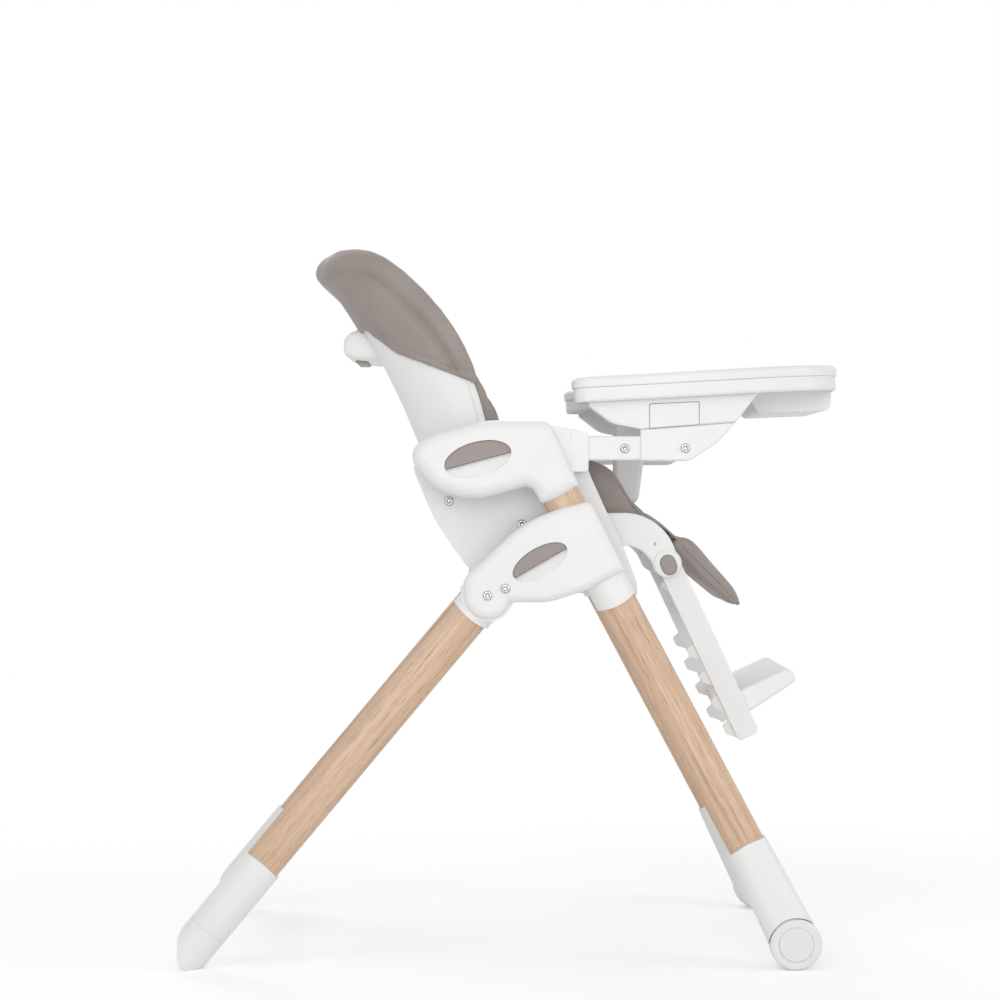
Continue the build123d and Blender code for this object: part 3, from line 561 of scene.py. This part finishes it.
# %% Helpers for soft pieces
weld_distance = 0.00002


def new_piece(name, mesh):
    """An object of its own for a mesh."""
    piece = bpy.data.objects.new(name, mesh)
    bpy.context.scene.collection.objects.link(piece)
    return piece


def settled(piece):
    """Give a piece the mesh that its modifiers make, and take the modifiers off."""
    graph = bpy.context.evaluated_depsgraph_get()
    made = bpy.data.meshes.new_from_object(piece.evaluated_get(graph))
    piece.modifiers.clear()
    piece.data = made


def soft_copy(node, name, draw_in, voxel):
    """A soft solid copied to a new piece, drawn in a little and meshed again in even squares."""
    shape = bmesh.new()
    shape.from_mesh(nodes[node].data)
    bmesh.ops.remove_doubles(shape, verts=shape.verts, dist=weld_distance)
    shape.normal_update()
    for vertex in shape.verts:
        vertex.co -= draw_in * vertex.normal
    mesh = bpy.data.meshes.new(name)
    shape.to_mesh(mesh)
    shape.free()
    piece = new_piece(name, mesh)
    even = piece.modifiers.new("even_mesh", "REMESH")
    even.mode = "VOXEL"
    even.voxel_size = voxel
    settled(piece)
    return piece


def smoothed(piece, rounds):
    """Even out the small steps that a mesh of squares has."""
    shape = bmesh.new()
    shape.from_mesh(piece.data)
    for _ in range(rounds):
        bmesh.ops.smooth_vert(
            shape, verts=shape.verts, factor=0.5, use_axis_x=True, use_axis_y=True, use_axis_z=True
        )
    shape.to_mesh(piece.data)
    shape.free()


def dress(piece, body, finish):
    """Finish a new piece: smooth faces, its material and its body."""
    piece.data.materials.clear()
    piece.data.materials.append(finish)
    piece.data.polygons.foreach_set("use_smooth", [True] * len(piece.data.polygons))
    if body is not None:
        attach(piece, body)
    print(piece.name, "triangles", sum(len(face.vertices) - 2 for face in piece.data.polygons))


# %% [markdown]
# Moving many points
# A mesh of even squares has tens of thousands of points. Numpy holds them as rows of x, y and z, so that one
# formula moves all of them at once. That is quicker than a loop over vertices and easier to read. Most moves
# here are a soft ridge or groove that depends on how far a point lies from a line.


# %% Helpers that move points
far_away = 10.0


def points_of(piece):
    """The points of a mesh as rows of x, y and z."""
    flat = numpy.empty(3 * len(piece.data.vertices))
    piece.data.vertices.foreach_get("co", flat)
    return flat.reshape(-1, 3)


def normals_of(piece):
    """The direction that each point of a mesh faces."""
    flat = numpy.empty(3 * len(piece.data.vertices))
    piece.data.vertices.foreach_get("normal", flat)
    return flat.reshape(-1, 3)


def put_points(piece, rows):
    """Move the points of a mesh to new rows of x, y and z."""
    piece.data.vertices.foreach_set("co", rows.reshape(-1))
    piece.data.update()


def gaps_to(rows, begin, end):
    """The steps from the nearest places on one run of a line to rows of two values, and the run itself."""
    begin = numpy.array(begin)
    run = numpy.array(end) - begin
    share = numpy.clip((rows - begin) @ run / (run @ run), 0.0, 1.0)
    return rows - begin - share[:, None] * run, run


def reach_to(rows, line):
    """How far each row of two values lies from a line of points."""
    best = numpy.full(len(rows), far_away)
    for begin, end in zip(line[:-1], line[1:]):
        gap, _ = gaps_to(rows, begin, end)
        best = numpy.minimum(best, numpy.hypot(gap[:, 0], gap[:, 1]))
    return best


def ridge(distance, middle, width):
    """A soft ridge of height one, a width wide on each side of its middle."""
    return numpy.exp(-(((distance - middle) / width) ** 2))


# %% [markdown]
# The hood
# A cover of leatherette is pulled over the top of the back like a cap, down to a curved hem. It could be
# draped by simulation, but it is tight and smooth, so its shape comes from its solid: meshed again in fine
# squares and smoothed, then worked like clay. A padded rim stands out along the front edge, a crease runs
# behind it, and a sewn groove follows the hem. The front edge and the hem are found on the outline that the
# hood has in the side view.

# %% Hood and its edges
hood_growth = 0.0012
hood_voxel = 0.0022
hood_rounds = 14
outline_step = 7
hood = soft_copy("headrest_cover", "headrest_hood", -hood_growth, hood_voxel)
smoothed(hood, hood_rounds)
hood_points = points_of(hood)
hood_side = hood_points[:, [0, 2]]
outline_points = hood_side[::outline_step]
hull = geometry.convex_hull_2d([Vector(row) for row in outline_points])
hull_line = [outline_points[index] for index in hull]
hull_line.append(hull_line[0])


def facing_edges(line, direction, least):
    """The edges of a closed outline that face a direction, where the outline goes anticlockwise."""
    kept = []
    for begin, end in zip(line[:-1], line[1:]):
        run = numpy.array(end) - numpy.array(begin)
        outward = numpy.array((run[1], -run[0])) / numpy.hypot(*run)
        if outward @ numpy.array(direction) > least:
            kept.append((begin, end))
    return kept


def reach_to_edges(rows, edges):
    """How far rows lie from the nearest of some edges."""
    return numpy.min([reach_to(rows, edge) for edge in edges], axis=0)


rim_facing = (0.6, 0.8)
rim_least = 0.15
hem_facing = (-0.35, -0.94)
hem_least = 0.55
rim_edges = facing_edges(hull_line, rim_facing, rim_least)
hem_edges = facing_edges(hull_line, hem_facing, hem_least)
rim_reach = reach_to_edges(hood_side, rim_edges)
hem_reach = reach_to_edges(hood_side, hem_edges)
print("edges of the rim", len(rim_edges), "and of the hem", len(hem_edges))

# %% Padded rim, crease and hem of the hood
rim_low = 0.022
rim_high = 0.034
hood_low, hood_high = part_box("headrest_cover")
rise = numpy.clip((hood_points[:, 2] - hood_low[2]) / (hood_high[2] - hood_low[2]), 0, 1)
rim_width = rim_low + (rim_high - rim_low) * rise
rim_share = rim_reach / rim_width
hood_facing = normals_of(hood)
hood_middle = numpy.array((-0.15, 0.0, 0.78))
skin_depth = 0.03
outer = numpy.clip(((hood_points - hood_middle) * hood_facing).sum(axis=1) / skin_depth, 0, 1)
side_skin = numpy.clip(hood_facing[:, 1] * numpy.sign(hood_points[:, 1]), 0, 1)
hood_stuffing = 0.0018
roll_height = 0.0055
crease_depth = 0.0036
crease_place = 1.05
crease_width = 0.14
hem_band = 0.009
hem_depth = 0.0018
hem_width = 0.0022
hem_calm = 0.02
roll = roll_height * numpy.sin(math.pi * numpy.clip(rim_share, 0, 1))
crease = crease_depth * ridge(rim_share, crease_place, crease_width)
hem_groove = hem_depth * ridge(hem_reach, hem_band, hem_width)
hem_hold = numpy.clip(hem_reach / hem_calm, 0, 1)
lift = hood_stuffing * hem_hold * outer + (roll * hem_hold - crease - hem_groove) * side_skin
put_points(hood, hood_points + lift[:, None] * hood_facing)
calm_rounds = 2
smoothed(hood, calm_rounds)
dress(hood, "backrest", hide)
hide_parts("headrest_cover")

# %% [markdown]
# Hem of the hood
# The hem is turned over and sewn: a thin cord runs along its edge, and a row of short stitches lies in the
# groove above it. Both lines are drawn in the side view, and a ray across the chair finds where each point
# meets the finished hood, so they keep to its skin. A cord is a smooth curve with a round bevel, made into
# a mesh; a stitch is a small stretched sphere.


# %% Helpers for cords and stitches
def tube(name, path, radius, body, finish):
    """A round cord of sewn piping along a smooth line."""
    curve = bpy.data.curves.new(name, "CURVE")
    curve.dimensions = "3D"
    curve.bevel_depth = radius
    curve.bevel_resolution = 2
    curve.use_fill_caps = True
    spline = curve.splines.new("NURBS")
    spline.points.add(len(path) - 1)
    for point, place in zip(spline.points, path):
        point.co = (*place, 1)
    spline.order_u = 3
    spline.use_endpoint_u = True
    line = bpy.data.objects.new(name + "_line", curve)
    bpy.context.scene.collection.objects.link(line)
    graph = bpy.context.evaluated_depsgraph_get()
    piece = new_piece(name, bpy.data.meshes.new_from_object(line.evaluated_get(graph)))
    bpy.data.objects.remove(line)
    dress(piece, body, finish)
    return piece


def seen_on(piece, path, side):
    """The places where a path, drawn in the side view, meets a piece's skin on one side."""
    places = []
    for x, z in path:
        start = Vector((x, side, z))
        hit, place, normal, face = piece.ray_cast(start, Vector((0, -side, 0)))
        if hit and place.y * side > 0:
            places.append(place)
    return places


def stitches(name, path, pitch, length, radius, body, finish):
    """A row of short threads along a path."""
    marks = [Vector(point) for point in path]
    thread_size = Matrix.Diagonal((radius, radius, length / 2, 1))
    shape = bmesh.new()
    spare = 0.0
    for begin, end in zip(marks[:-1], marks[1:]):
        run = end - begin
        along = run.normalized()
        place = spare
        while place < run.length:
            turn = along.to_track_quat("Z", "Y").to_matrix().to_4x4()
            turn.translation = begin + place * along
            thread = turn @ thread_size
            bmesh.ops.create_uvsphere(shape, u_segments=6, v_segments=4, radius=1.0, matrix=thread)
            place += pitch
        spare = place - run.length
    mesh = bpy.data.meshes.new(name)
    shape.to_mesh(mesh)
    shape.free()
    piece = new_piece(name, mesh)
    dress(piece, body, finish)
    return piece


# %% Hem cord and stitches
hem_line = [
    (-0.190, 0.829),
    (-0.172, 0.813),
    (-0.150, 0.801),
    (-0.126, 0.791),
    (-0.100, 0.781),
    (-0.075, 0.772),
    (-0.052, 0.764),
]
hem_cord = 0.0014
stitch_lean = 0.3
thread_pitch = 0.0042
thread_length = 0.0026
thread_radius = 0.0005
for side, name in ((-1, "right"), (1, "left")):
    hem_places = seen_on(hood, [(x, z + hem_cord) for x, z in hem_line], side)
    tube("hem_cord_" + name, hem_places, hem_cord, "backrest", hide)
    sewn_places = seen_on(hood, [(x + stitch_lean * hem_band, z + hem_band) for x, z in hem_line], side)
    stitches(
        "hem_stitches_" + name,
        sewn_places,
        thread_pitch,
        thread_length,
        thread_radius,
        "backrest",
        taupe_plastic,
    )

# %% [markdown]
# The back pad
# The pad lines the inside of the back shell, and a strip of it shows between the hood and the armrest. It
# could be modelled with subdivision alone, but a skin under pressure finds its own soft corners, so a cloth
# simulation blows it up. No point may move further than its cap. The inner faces are free to swell; the
# outer ones lie on the shell, so their cap is small.


# %% Helpers that swell a pad
swell_frames = 20


def swell(piece, pressure, cap):
    """Blow a pad up as cloth, then hold every point within its cap."""
    scene = bpy.context.scene
    start = [vertex.co.copy() for vertex in piece.data.vertices]
    facing = [vertex.normal.copy() for vertex in piece.data.vertices]
    cloth = piece.modifiers.new("swell", "CLOTH")
    cloth.settings.use_pressure = True
    cloth.settings.uniform_pressure_force = pressure
    cloth.settings.effector_weights.gravity = 0
    cloth.point_cache.frame_end = swell_frames
    for step in range(1, swell_frames + 1):
        scene.frame_set(step)
    settled(piece)
    scene.frame_set(1)
    for vertex, before, normal in zip(piece.data.vertices, start, facing):
        move = vertex.co - before
        limit = cap(before, normal)
        if move.length > limit:
            vertex.co = before + move * (limit / move.length)


def finer(piece):
    """One round of subdivision, applied."""
    divide = piece.modifiers.new("finer", "SUBSURF")
    divide.levels = 1
    divide.render_levels = 1
    settled(piece)


# %% Back pad
pad_draw = 0.003
pad_voxel = 0.005
pad_rounds = 2
pad_pressure = 4.0
resting_cap = 0.0022
back_swelling = 0.010
back_rim_depth = 0.004
forward_weight = 0.9
upward_weight = 0.3
inward_least = 0.35
back_cushion = soft_copy("back_pad", "back_cushion", pad_draw, pad_voxel)
smoothed(back_cushion, pad_rounds)
shell_edge = [
    (-0.022, 0.640),
    (-0.029, 0.680),
    (-0.039, 0.720),
    (-0.051, 0.760),
    (-0.067, 0.800),
    (-0.104, 0.860),
    (-0.140, 0.900),
    (-0.178, 0.929),
    (-0.228, 0.943),
]


def edge_front(height):
    """Where the shell's front edge lies at a height."""
    fronts, heights = zip(*shell_edge)
    return numpy.interp(height, heights, fronts)


def back_cap(place, normal):
    """Points that face inwards may swell; points on the rim or facing the shell only come back to it."""
    inward = normal.x * forward_weight - normal.y * math.copysign(1.0, place.y) + normal.z * upward_weight
    on_rim = place.x > edge_front(place.z) - back_rim_depth
    return back_swelling if inward > inward_least and not on_rim else resting_cap


swell(back_cushion, pad_pressure, back_cap)
smoothed(back_cushion, pad_rounds)
finer(back_cushion)
print("points of the back pad", len(back_cushion.data.vertices))

# %% [markdown]
# Rim and fold of the back pad
# Low down, the pad's edge stands out in front of the shell's edge; under the hood it is drawn back. A fold
# crosses the edge just below the hood. Each is a move straight out of the shell's edge line, full at the
# line and fading to nothing a little behind it, so the swollen shape further in is kept.

# %% Rim and fold of the back pad
stand_heights = (0.64, 0.72, 0.76, 0.80, 0.84, 0.95)
stand_moves = (0.009, 0.009, 0.001, -0.007, -0.013, -0.013)
stand_depth = 0.025
fold_height = 0.745
fold_depth = 0.002
fold_width = 0.005


def beyond(rows, line):
    """How far rows lie in front of a line that runs upwards, and the direction out of it there."""
    best = numpy.full(len(rows), far_away)
    ahead = numpy.zeros(len(rows))
    out = numpy.zeros((len(rows), 2))
    for begin, end in zip(line[:-1], line[1:]):
        gap, run = gaps_to(rows, begin, end)
        facing = numpy.array((run[1], -run[0])) / numpy.hypot(*run)
        reach = numpy.hypot(gap[:, 0], gap[:, 1])
        nearer = reach < best
        best = numpy.where(nearer, reach, best)
        ahead = numpy.where(nearer, gap @ facing, ahead)
        out = numpy.where(nearer[:, None], facing, out)
    return ahead, out


pad_points = points_of(back_cushion)
pad_ahead, pad_out = beyond(pad_points[:, [0, 2]], shell_edge)
front_share = numpy.clip(1.0 + pad_ahead / stand_depth, 0, 1)
stand = numpy.interp(pad_points[:, 2], stand_heights, stand_moves) * front_share
stand -= fold_depth * ridge(pad_points[:, 2], fold_height, fold_width) * front_share
pad_points[:, [0, 2]] += stand[:, None] * pad_out
put_points(back_cushion, pad_points)
smoothed(back_cushion, pad_rounds)
dress(back_cushion, "backrest", hide)
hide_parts("back_pad")

# %% [markdown]
# The rim of the back
# The moulded back ends in a bright rounded rim, a little proud of its side, which stiffens the edge. It is
# a round bar along a smooth line on the shell's front edge, one on each side, up into the hood.

# %% Rim of the back
shell_rim = 0.0055
shell_side = 0.1705
rim_proud = 0.0018
rim_points = 5
for side, name in ((-1, "back_rim_right"), (1, "back_rim_left")):
    across = side * (shell_side + rim_proud - shell_rim)
    rim_line = [(x - shell_rim, across, z) for x, z in shell_edge[:rim_points]]
    tube(name, rim_line, shell_rim, "backrest", white_plastic)

# %% [markdown]
# The seat pad
# A seat with raised side wings and a rolled front edge. It rests on the pan, so its underside keeps flat,
# while its top and the inner faces of its wings swell. The crown of each wing is then drawn up and forward.

# %% Seat pad
seat_swelling = 0.007
wing_weight = 0.8
upward_least = 0.3
seat_cushion = soft_copy("seat_pad", "seat_cushion", pad_draw, pad_voxel)
smoothed(seat_cushion, pad_rounds)


def seat_cap(place, normal):
    """The top and the inner wings swell, the underside and the outer wings stay."""
    inward = normal.z + wing_weight * max(0.0, -normal.y * math.copysign(1.0, place.y))
    return seat_swelling if inward > upward_least else resting_cap


swell(seat_cushion, pad_pressure, seat_cap)
smoothed(seat_cushion, pad_rounds)
finer(seat_cushion)
print("points of the seat pad", len(seat_cushion.data.vertices))

# %% Crown of the wings
wing_crown = 0.007
wing_bottom = 0.625
wing_rise = 0.02
wing_inner = 0.12
crown_place = 0.108
crown_width = 0.036
crown_forward = 0.5
crown_up = 0.85
seat_points = points_of(seat_cushion)
on_wing = numpy.abs(seat_points[:, 1]) > wing_inner
wing_share = numpy.clip((seat_points[:, 2] - wing_bottom) / wing_rise, 0, 1) * on_wing
crown_lift = wing_crown * ridge(seat_points[:, 0], crown_place, crown_width) * wing_share
seat_points[:, 0] += crown_forward * crown_lift
seat_points[:, 2] += crown_up * crown_lift
put_points(seat_cushion, seat_points)
dress(seat_cushion, "seat", hide)
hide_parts("seat_pad")

# %% [markdown]
# Piping of the seat pad
# The wings are sewn with a cord along their edge and a thinner seam inside it. Both are laid on the finished
# pad, so that they follow the swollen skin: the cord on the nearest places of the skin, and the seam where
# the side view shows it.

# %% Seat piping
cord_radius = 0.0018
inner_radius = 0.0009
wing_edge = [
    (0.040, 0.684),
    (0.072, 0.684),
    (0.108, 0.671),
    (0.142, 0.646),
    (0.163, 0.614),
    (0.188, 0.582),
    (0.203, 0.568),
]
pad_half = 0.148
cord_inset = 0.002
seam_back = 0.006
seam_down = 0.008


def laid_on(piece, path, lift):
    """The places on a piece's skin that are nearest to a path, lifted off it or sunk into it."""
    places = []
    for point in path:
        found, place, normal, face = piece.closest_point_on_mesh(Vector(point))
        places.append(place + lift * normal)
    return places


for side, name in ((-1, "right"), (1, "left")):
    outer_line = [(x, side * (pad_half - cord_inset), z) for x, z in wing_edge]
    outer_places = laid_on(seat_cushion, outer_line, 0.0)
    inner_line = [(x - seam_back, z - seam_down) for x, z in wing_edge]
    inner_places = seen_on(seat_cushion, inner_line, side)
    tube("wing_cord_" + name, outer_places, cord_radius, "seat", hide)
    tube("wing_seam_" + name, inner_places, inner_radius, "seat", hide)

# %% [markdown]
# The front apron
# Below the wings the cover runs over the edge of the seat and is sewn to the calf flap, so it has to bend
# when the flap rises. It is a grid shaped over a few points and given a padded thickness, with the small
# wrinkles of a cover that is often bent. Its upper end starts at the seat and its lower end at the flap; it
# rides on no body.

# %% Front apron
apron_line = [(0.158, 0.5915), (0.181, 0.5892), (0.2014, 0.5746), (0.2174, 0.5596), (0.2304, 0.5476)]
apron_top_half = 0.143
apron_low_half = 0.131
apron_thick = 0.003
apron_outward = (0.8, 0.6)
apron_rows = 16
apron_columns = 40
wrinkle_height = 0.0012
wrinkle_waves = 26
wrinkle_sway = 2
wrinkle_bends = 5
wrinkle_start = 0.45
edge_tuck = 0.006
edge_power = 8
apron_shape = bmesh.new()
bmesh.ops.create_grid(apron_shape, x_segments=apron_rows, y_segments=apron_columns, size=0.5)
line_steps = numpy.linspace(0, 1, len(apron_line))
for vertex in apron_shape.verts:
    down = vertex.co.x + 0.5
    across = 2 * vertex.co.y
    half = apron_top_half + (apron_low_half - apron_top_half) * down
    x, z = (numpy.interp(down, line_steps, values) for values in zip(*apron_line))
    sway = wrinkle_sway * math.sin(wrinkle_bends * across)
    wrinkle = wrinkle_height * math.sin(wrinkle_waves * down + sway) * max(0.0, down - wrinkle_start)
    edge_drop = edge_tuck * abs(across) ** edge_power * (1 - down)
    out = wrinkle - edge_drop
    vertex.co = (x + apron_outward[0] * out, half * across, z + apron_outward[1] * out)
bmesh.ops.recalc_face_normals(apron_shape, faces=apron_shape.faces)
apron_mesh = bpy.data.meshes.new("front_apron")
apron_shape.to_mesh(apron_mesh)
apron_shape.free()
apron = new_piece("front_apron", apron_mesh)
thicken = apron.modifiers.new("thicken", "SOLIDIFY")
thicken.thickness = apron_thick
thicken.offset = 0
settled(apron)
smoothed(apron, calm_rounds)
finer(apron)
dress(apron, None, hide)
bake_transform(apron)

# %% [markdown]
# The calf flap
# A flat cushion: a top and a bottom panel, sewn together round the edge. It hangs from the seat's front. It
# swells like the other pads, but its tip is thin, so the cap falls to almost nothing there.

# %% Calf flap
flap_draw = 0.001
flap_voxel = 0.004
flap_rounds = 1
flap_ends = (0.25, 0.31)
flap_caps = (0.003, 0.0003)


def flap_cap(place, normal):
    """The root of the flap may swell more than its tip."""
    return numpy.interp(place.x, flap_ends, flap_caps)


calf_cushion = soft_copy("calf_flap", "calf_cushion", flap_draw, flap_voxel)
smoothed(calf_cushion, flap_rounds)
swell(calf_cushion, pad_pressure, flap_cap)
smoothed(calf_cushion, flap_rounds)
finer(calf_cushion)
dress(calf_cushion, "calf_support", hide)
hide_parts("calf_flap")

# %% [markdown]
# Seam of the calf flap
# The two panels of the flap meet in a corded seam on its edge, and a thicker lip is sewn on at the tip. Both
# lines are given in the flap's own frame, where they are simple, and then laid on the finished flap.

# %% Calf flap seam
flap_hinge = (0.222, 0.548)
flap_half = 0.134
half_root = math.sqrt(0.5)


def flap_place(along, above, across):
    """A point in the flap's own frame, which leans forward by 45 degrees, put in the chair's frame."""
    x = flap_hinge[0] + half_root * (along + above)
    z = flap_hinge[1] + half_root * (above - along)
    return x, across, z


seam_outset = 0.002
seam_above = 0.003
side_run = [(0.006, 0.004), (0.035, 0.004), (0.070, 0.004), (0.100, 0.003)]
tip_run = [(0.112, -0.99), (0.118, -0.95), (0.122, -0.5), (0.122, 0.0)]
near_run = [flap_place(along, above, -flap_half - seam_outset) for along, above in side_run]
near_tip = [flap_place(along, seam_above, share * flap_half) for along, share in tip_run]
far_run = [(x, -y, z) for x, y, z in reversed(near_run + near_tip[:-1])]
seam_places = laid_on(calf_cushion, near_run + near_tip + far_run, 0.0)
tube("flap_seam", seam_places, cord_radius, "calf_support", hide)
lip_radius = 0.0032
lip_along = 0.130
lip_sink = 0.001
lip_shares = (-0.97, -0.6, 0.0, 0.6, 0.97)
lip_line = [flap_place(lip_along, seam_above, share * flap_half) for share in lip_shares]
lip_places = laid_on(calf_cushion, lip_line, -lip_sink)
tube("flap_lip", lip_places, lip_radius, "calf_support", hide)

# %% [markdown]
# Screw heads
# The screws are plated steel with a cross recess for the driver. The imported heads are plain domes, so each
# is copied and two crossed bars are cut from it. A boolean modifier cuts one bar from all the heads of a
# piece at once. Each head is turned differently, as screws are when they have been driven home.


# %% Helpers for screws
bodies = frame["record"]["behaviour"]["bodies"]


def body_of(node):
    """The name of the body that a node rides on."""
    return next(body for body, members in bodies.items() if node in members)


def lumps(shape):
    """The separate lumps of a mesh, each as a list of its vertices."""
    left = set(shape.verts)
    while left:
        lump = [left.pop()]
        for vertex in lump:
            for edge in vertex.link_edges:
                other = edge.other_vert(vertex)
                if other in left:
                    left.remove(other)
                    lump.append(other)
        yield lump


def head_places(shape):
    """The middle of each screw head's outer face."""
    places = []
    for lump in lumps(shape):
        corners = numpy.array([vertex.co for vertex in lump])
        x, _, z = (corners.min(axis=0) + corners.max(axis=0)) / 2
        outermost = numpy.abs(corners[:, 1]).argmax()
        places.append(Vector((x, corners[outermost, 1], z)))
    return sorted(places, key=lambda place: tuple(place))


# %% Screws with a cross recess
recess_length = 0.0068
recess_width = 0.0017
recess_depth = 0.0015
recess_size = Matrix.Diagonal((recess_length, 2 * recess_depth, recess_width, 1))
first_turn = 20
turn_step = 50
sharp_angle = math.radians(35)
for node in ("hub_screws", "fold_pivot_bolts", "seat_screws", "recline_pins", "tray_screws"):
    shape = bmesh.new()
    shape.from_mesh(nodes[node].data)
    bmesh.ops.remove_doubles(shape, verts=shape.verts, dist=weld_distance)
    heads = head_places(shape)
    mesh = bpy.data.meshes.new(node + "_crossed")
    shape.to_mesh(mesh)
    shape.free()
    piece = new_piece(node + "_crossed", mesh)
    for quarter in (0, 90):
        bars = bmesh.new()
        for count, head in enumerate(heads):
            angle = math.radians(quarter + first_turn + turn_step * count)
            turn = Matrix.Rotation(angle, 4, "Y")
            bmesh.ops.create_cube(bars, size=1, matrix=Matrix.Translation(head) @ turn @ recess_size)
        bar_mesh = bpy.data.meshes.new("recess_bars")
        bars.to_mesh(bar_mesh)
        bars.free()
        cutter = new_piece("recess_bars", bar_mesh)
        cut = piece.modifiers.new("recess", "BOOLEAN")
        cut.object = cutter
        cut.solver = "EXACT"
        settled(piece)
        bpy.data.objects.remove(cutter)
    dress(piece, body_of(node), plated)
    piece.data.set_sharp_from_angle(angle=sharp_angle)
    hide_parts(node)

# %% [markdown]
# Boxes of the model
# A better skin must not change the object's size, so the box of the imported model and the box of the dressed
# one are written next to each other, to be compared.

# %% Boxes of the model
visual_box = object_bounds()
print("box", [round(side, 3) for side in visual_box[1] - visual_box[0]])
sizes = {"cad": cad_box, "visual": visual_box}
{name: [list(corner) for corner in box] for name, box in sizes.items()}
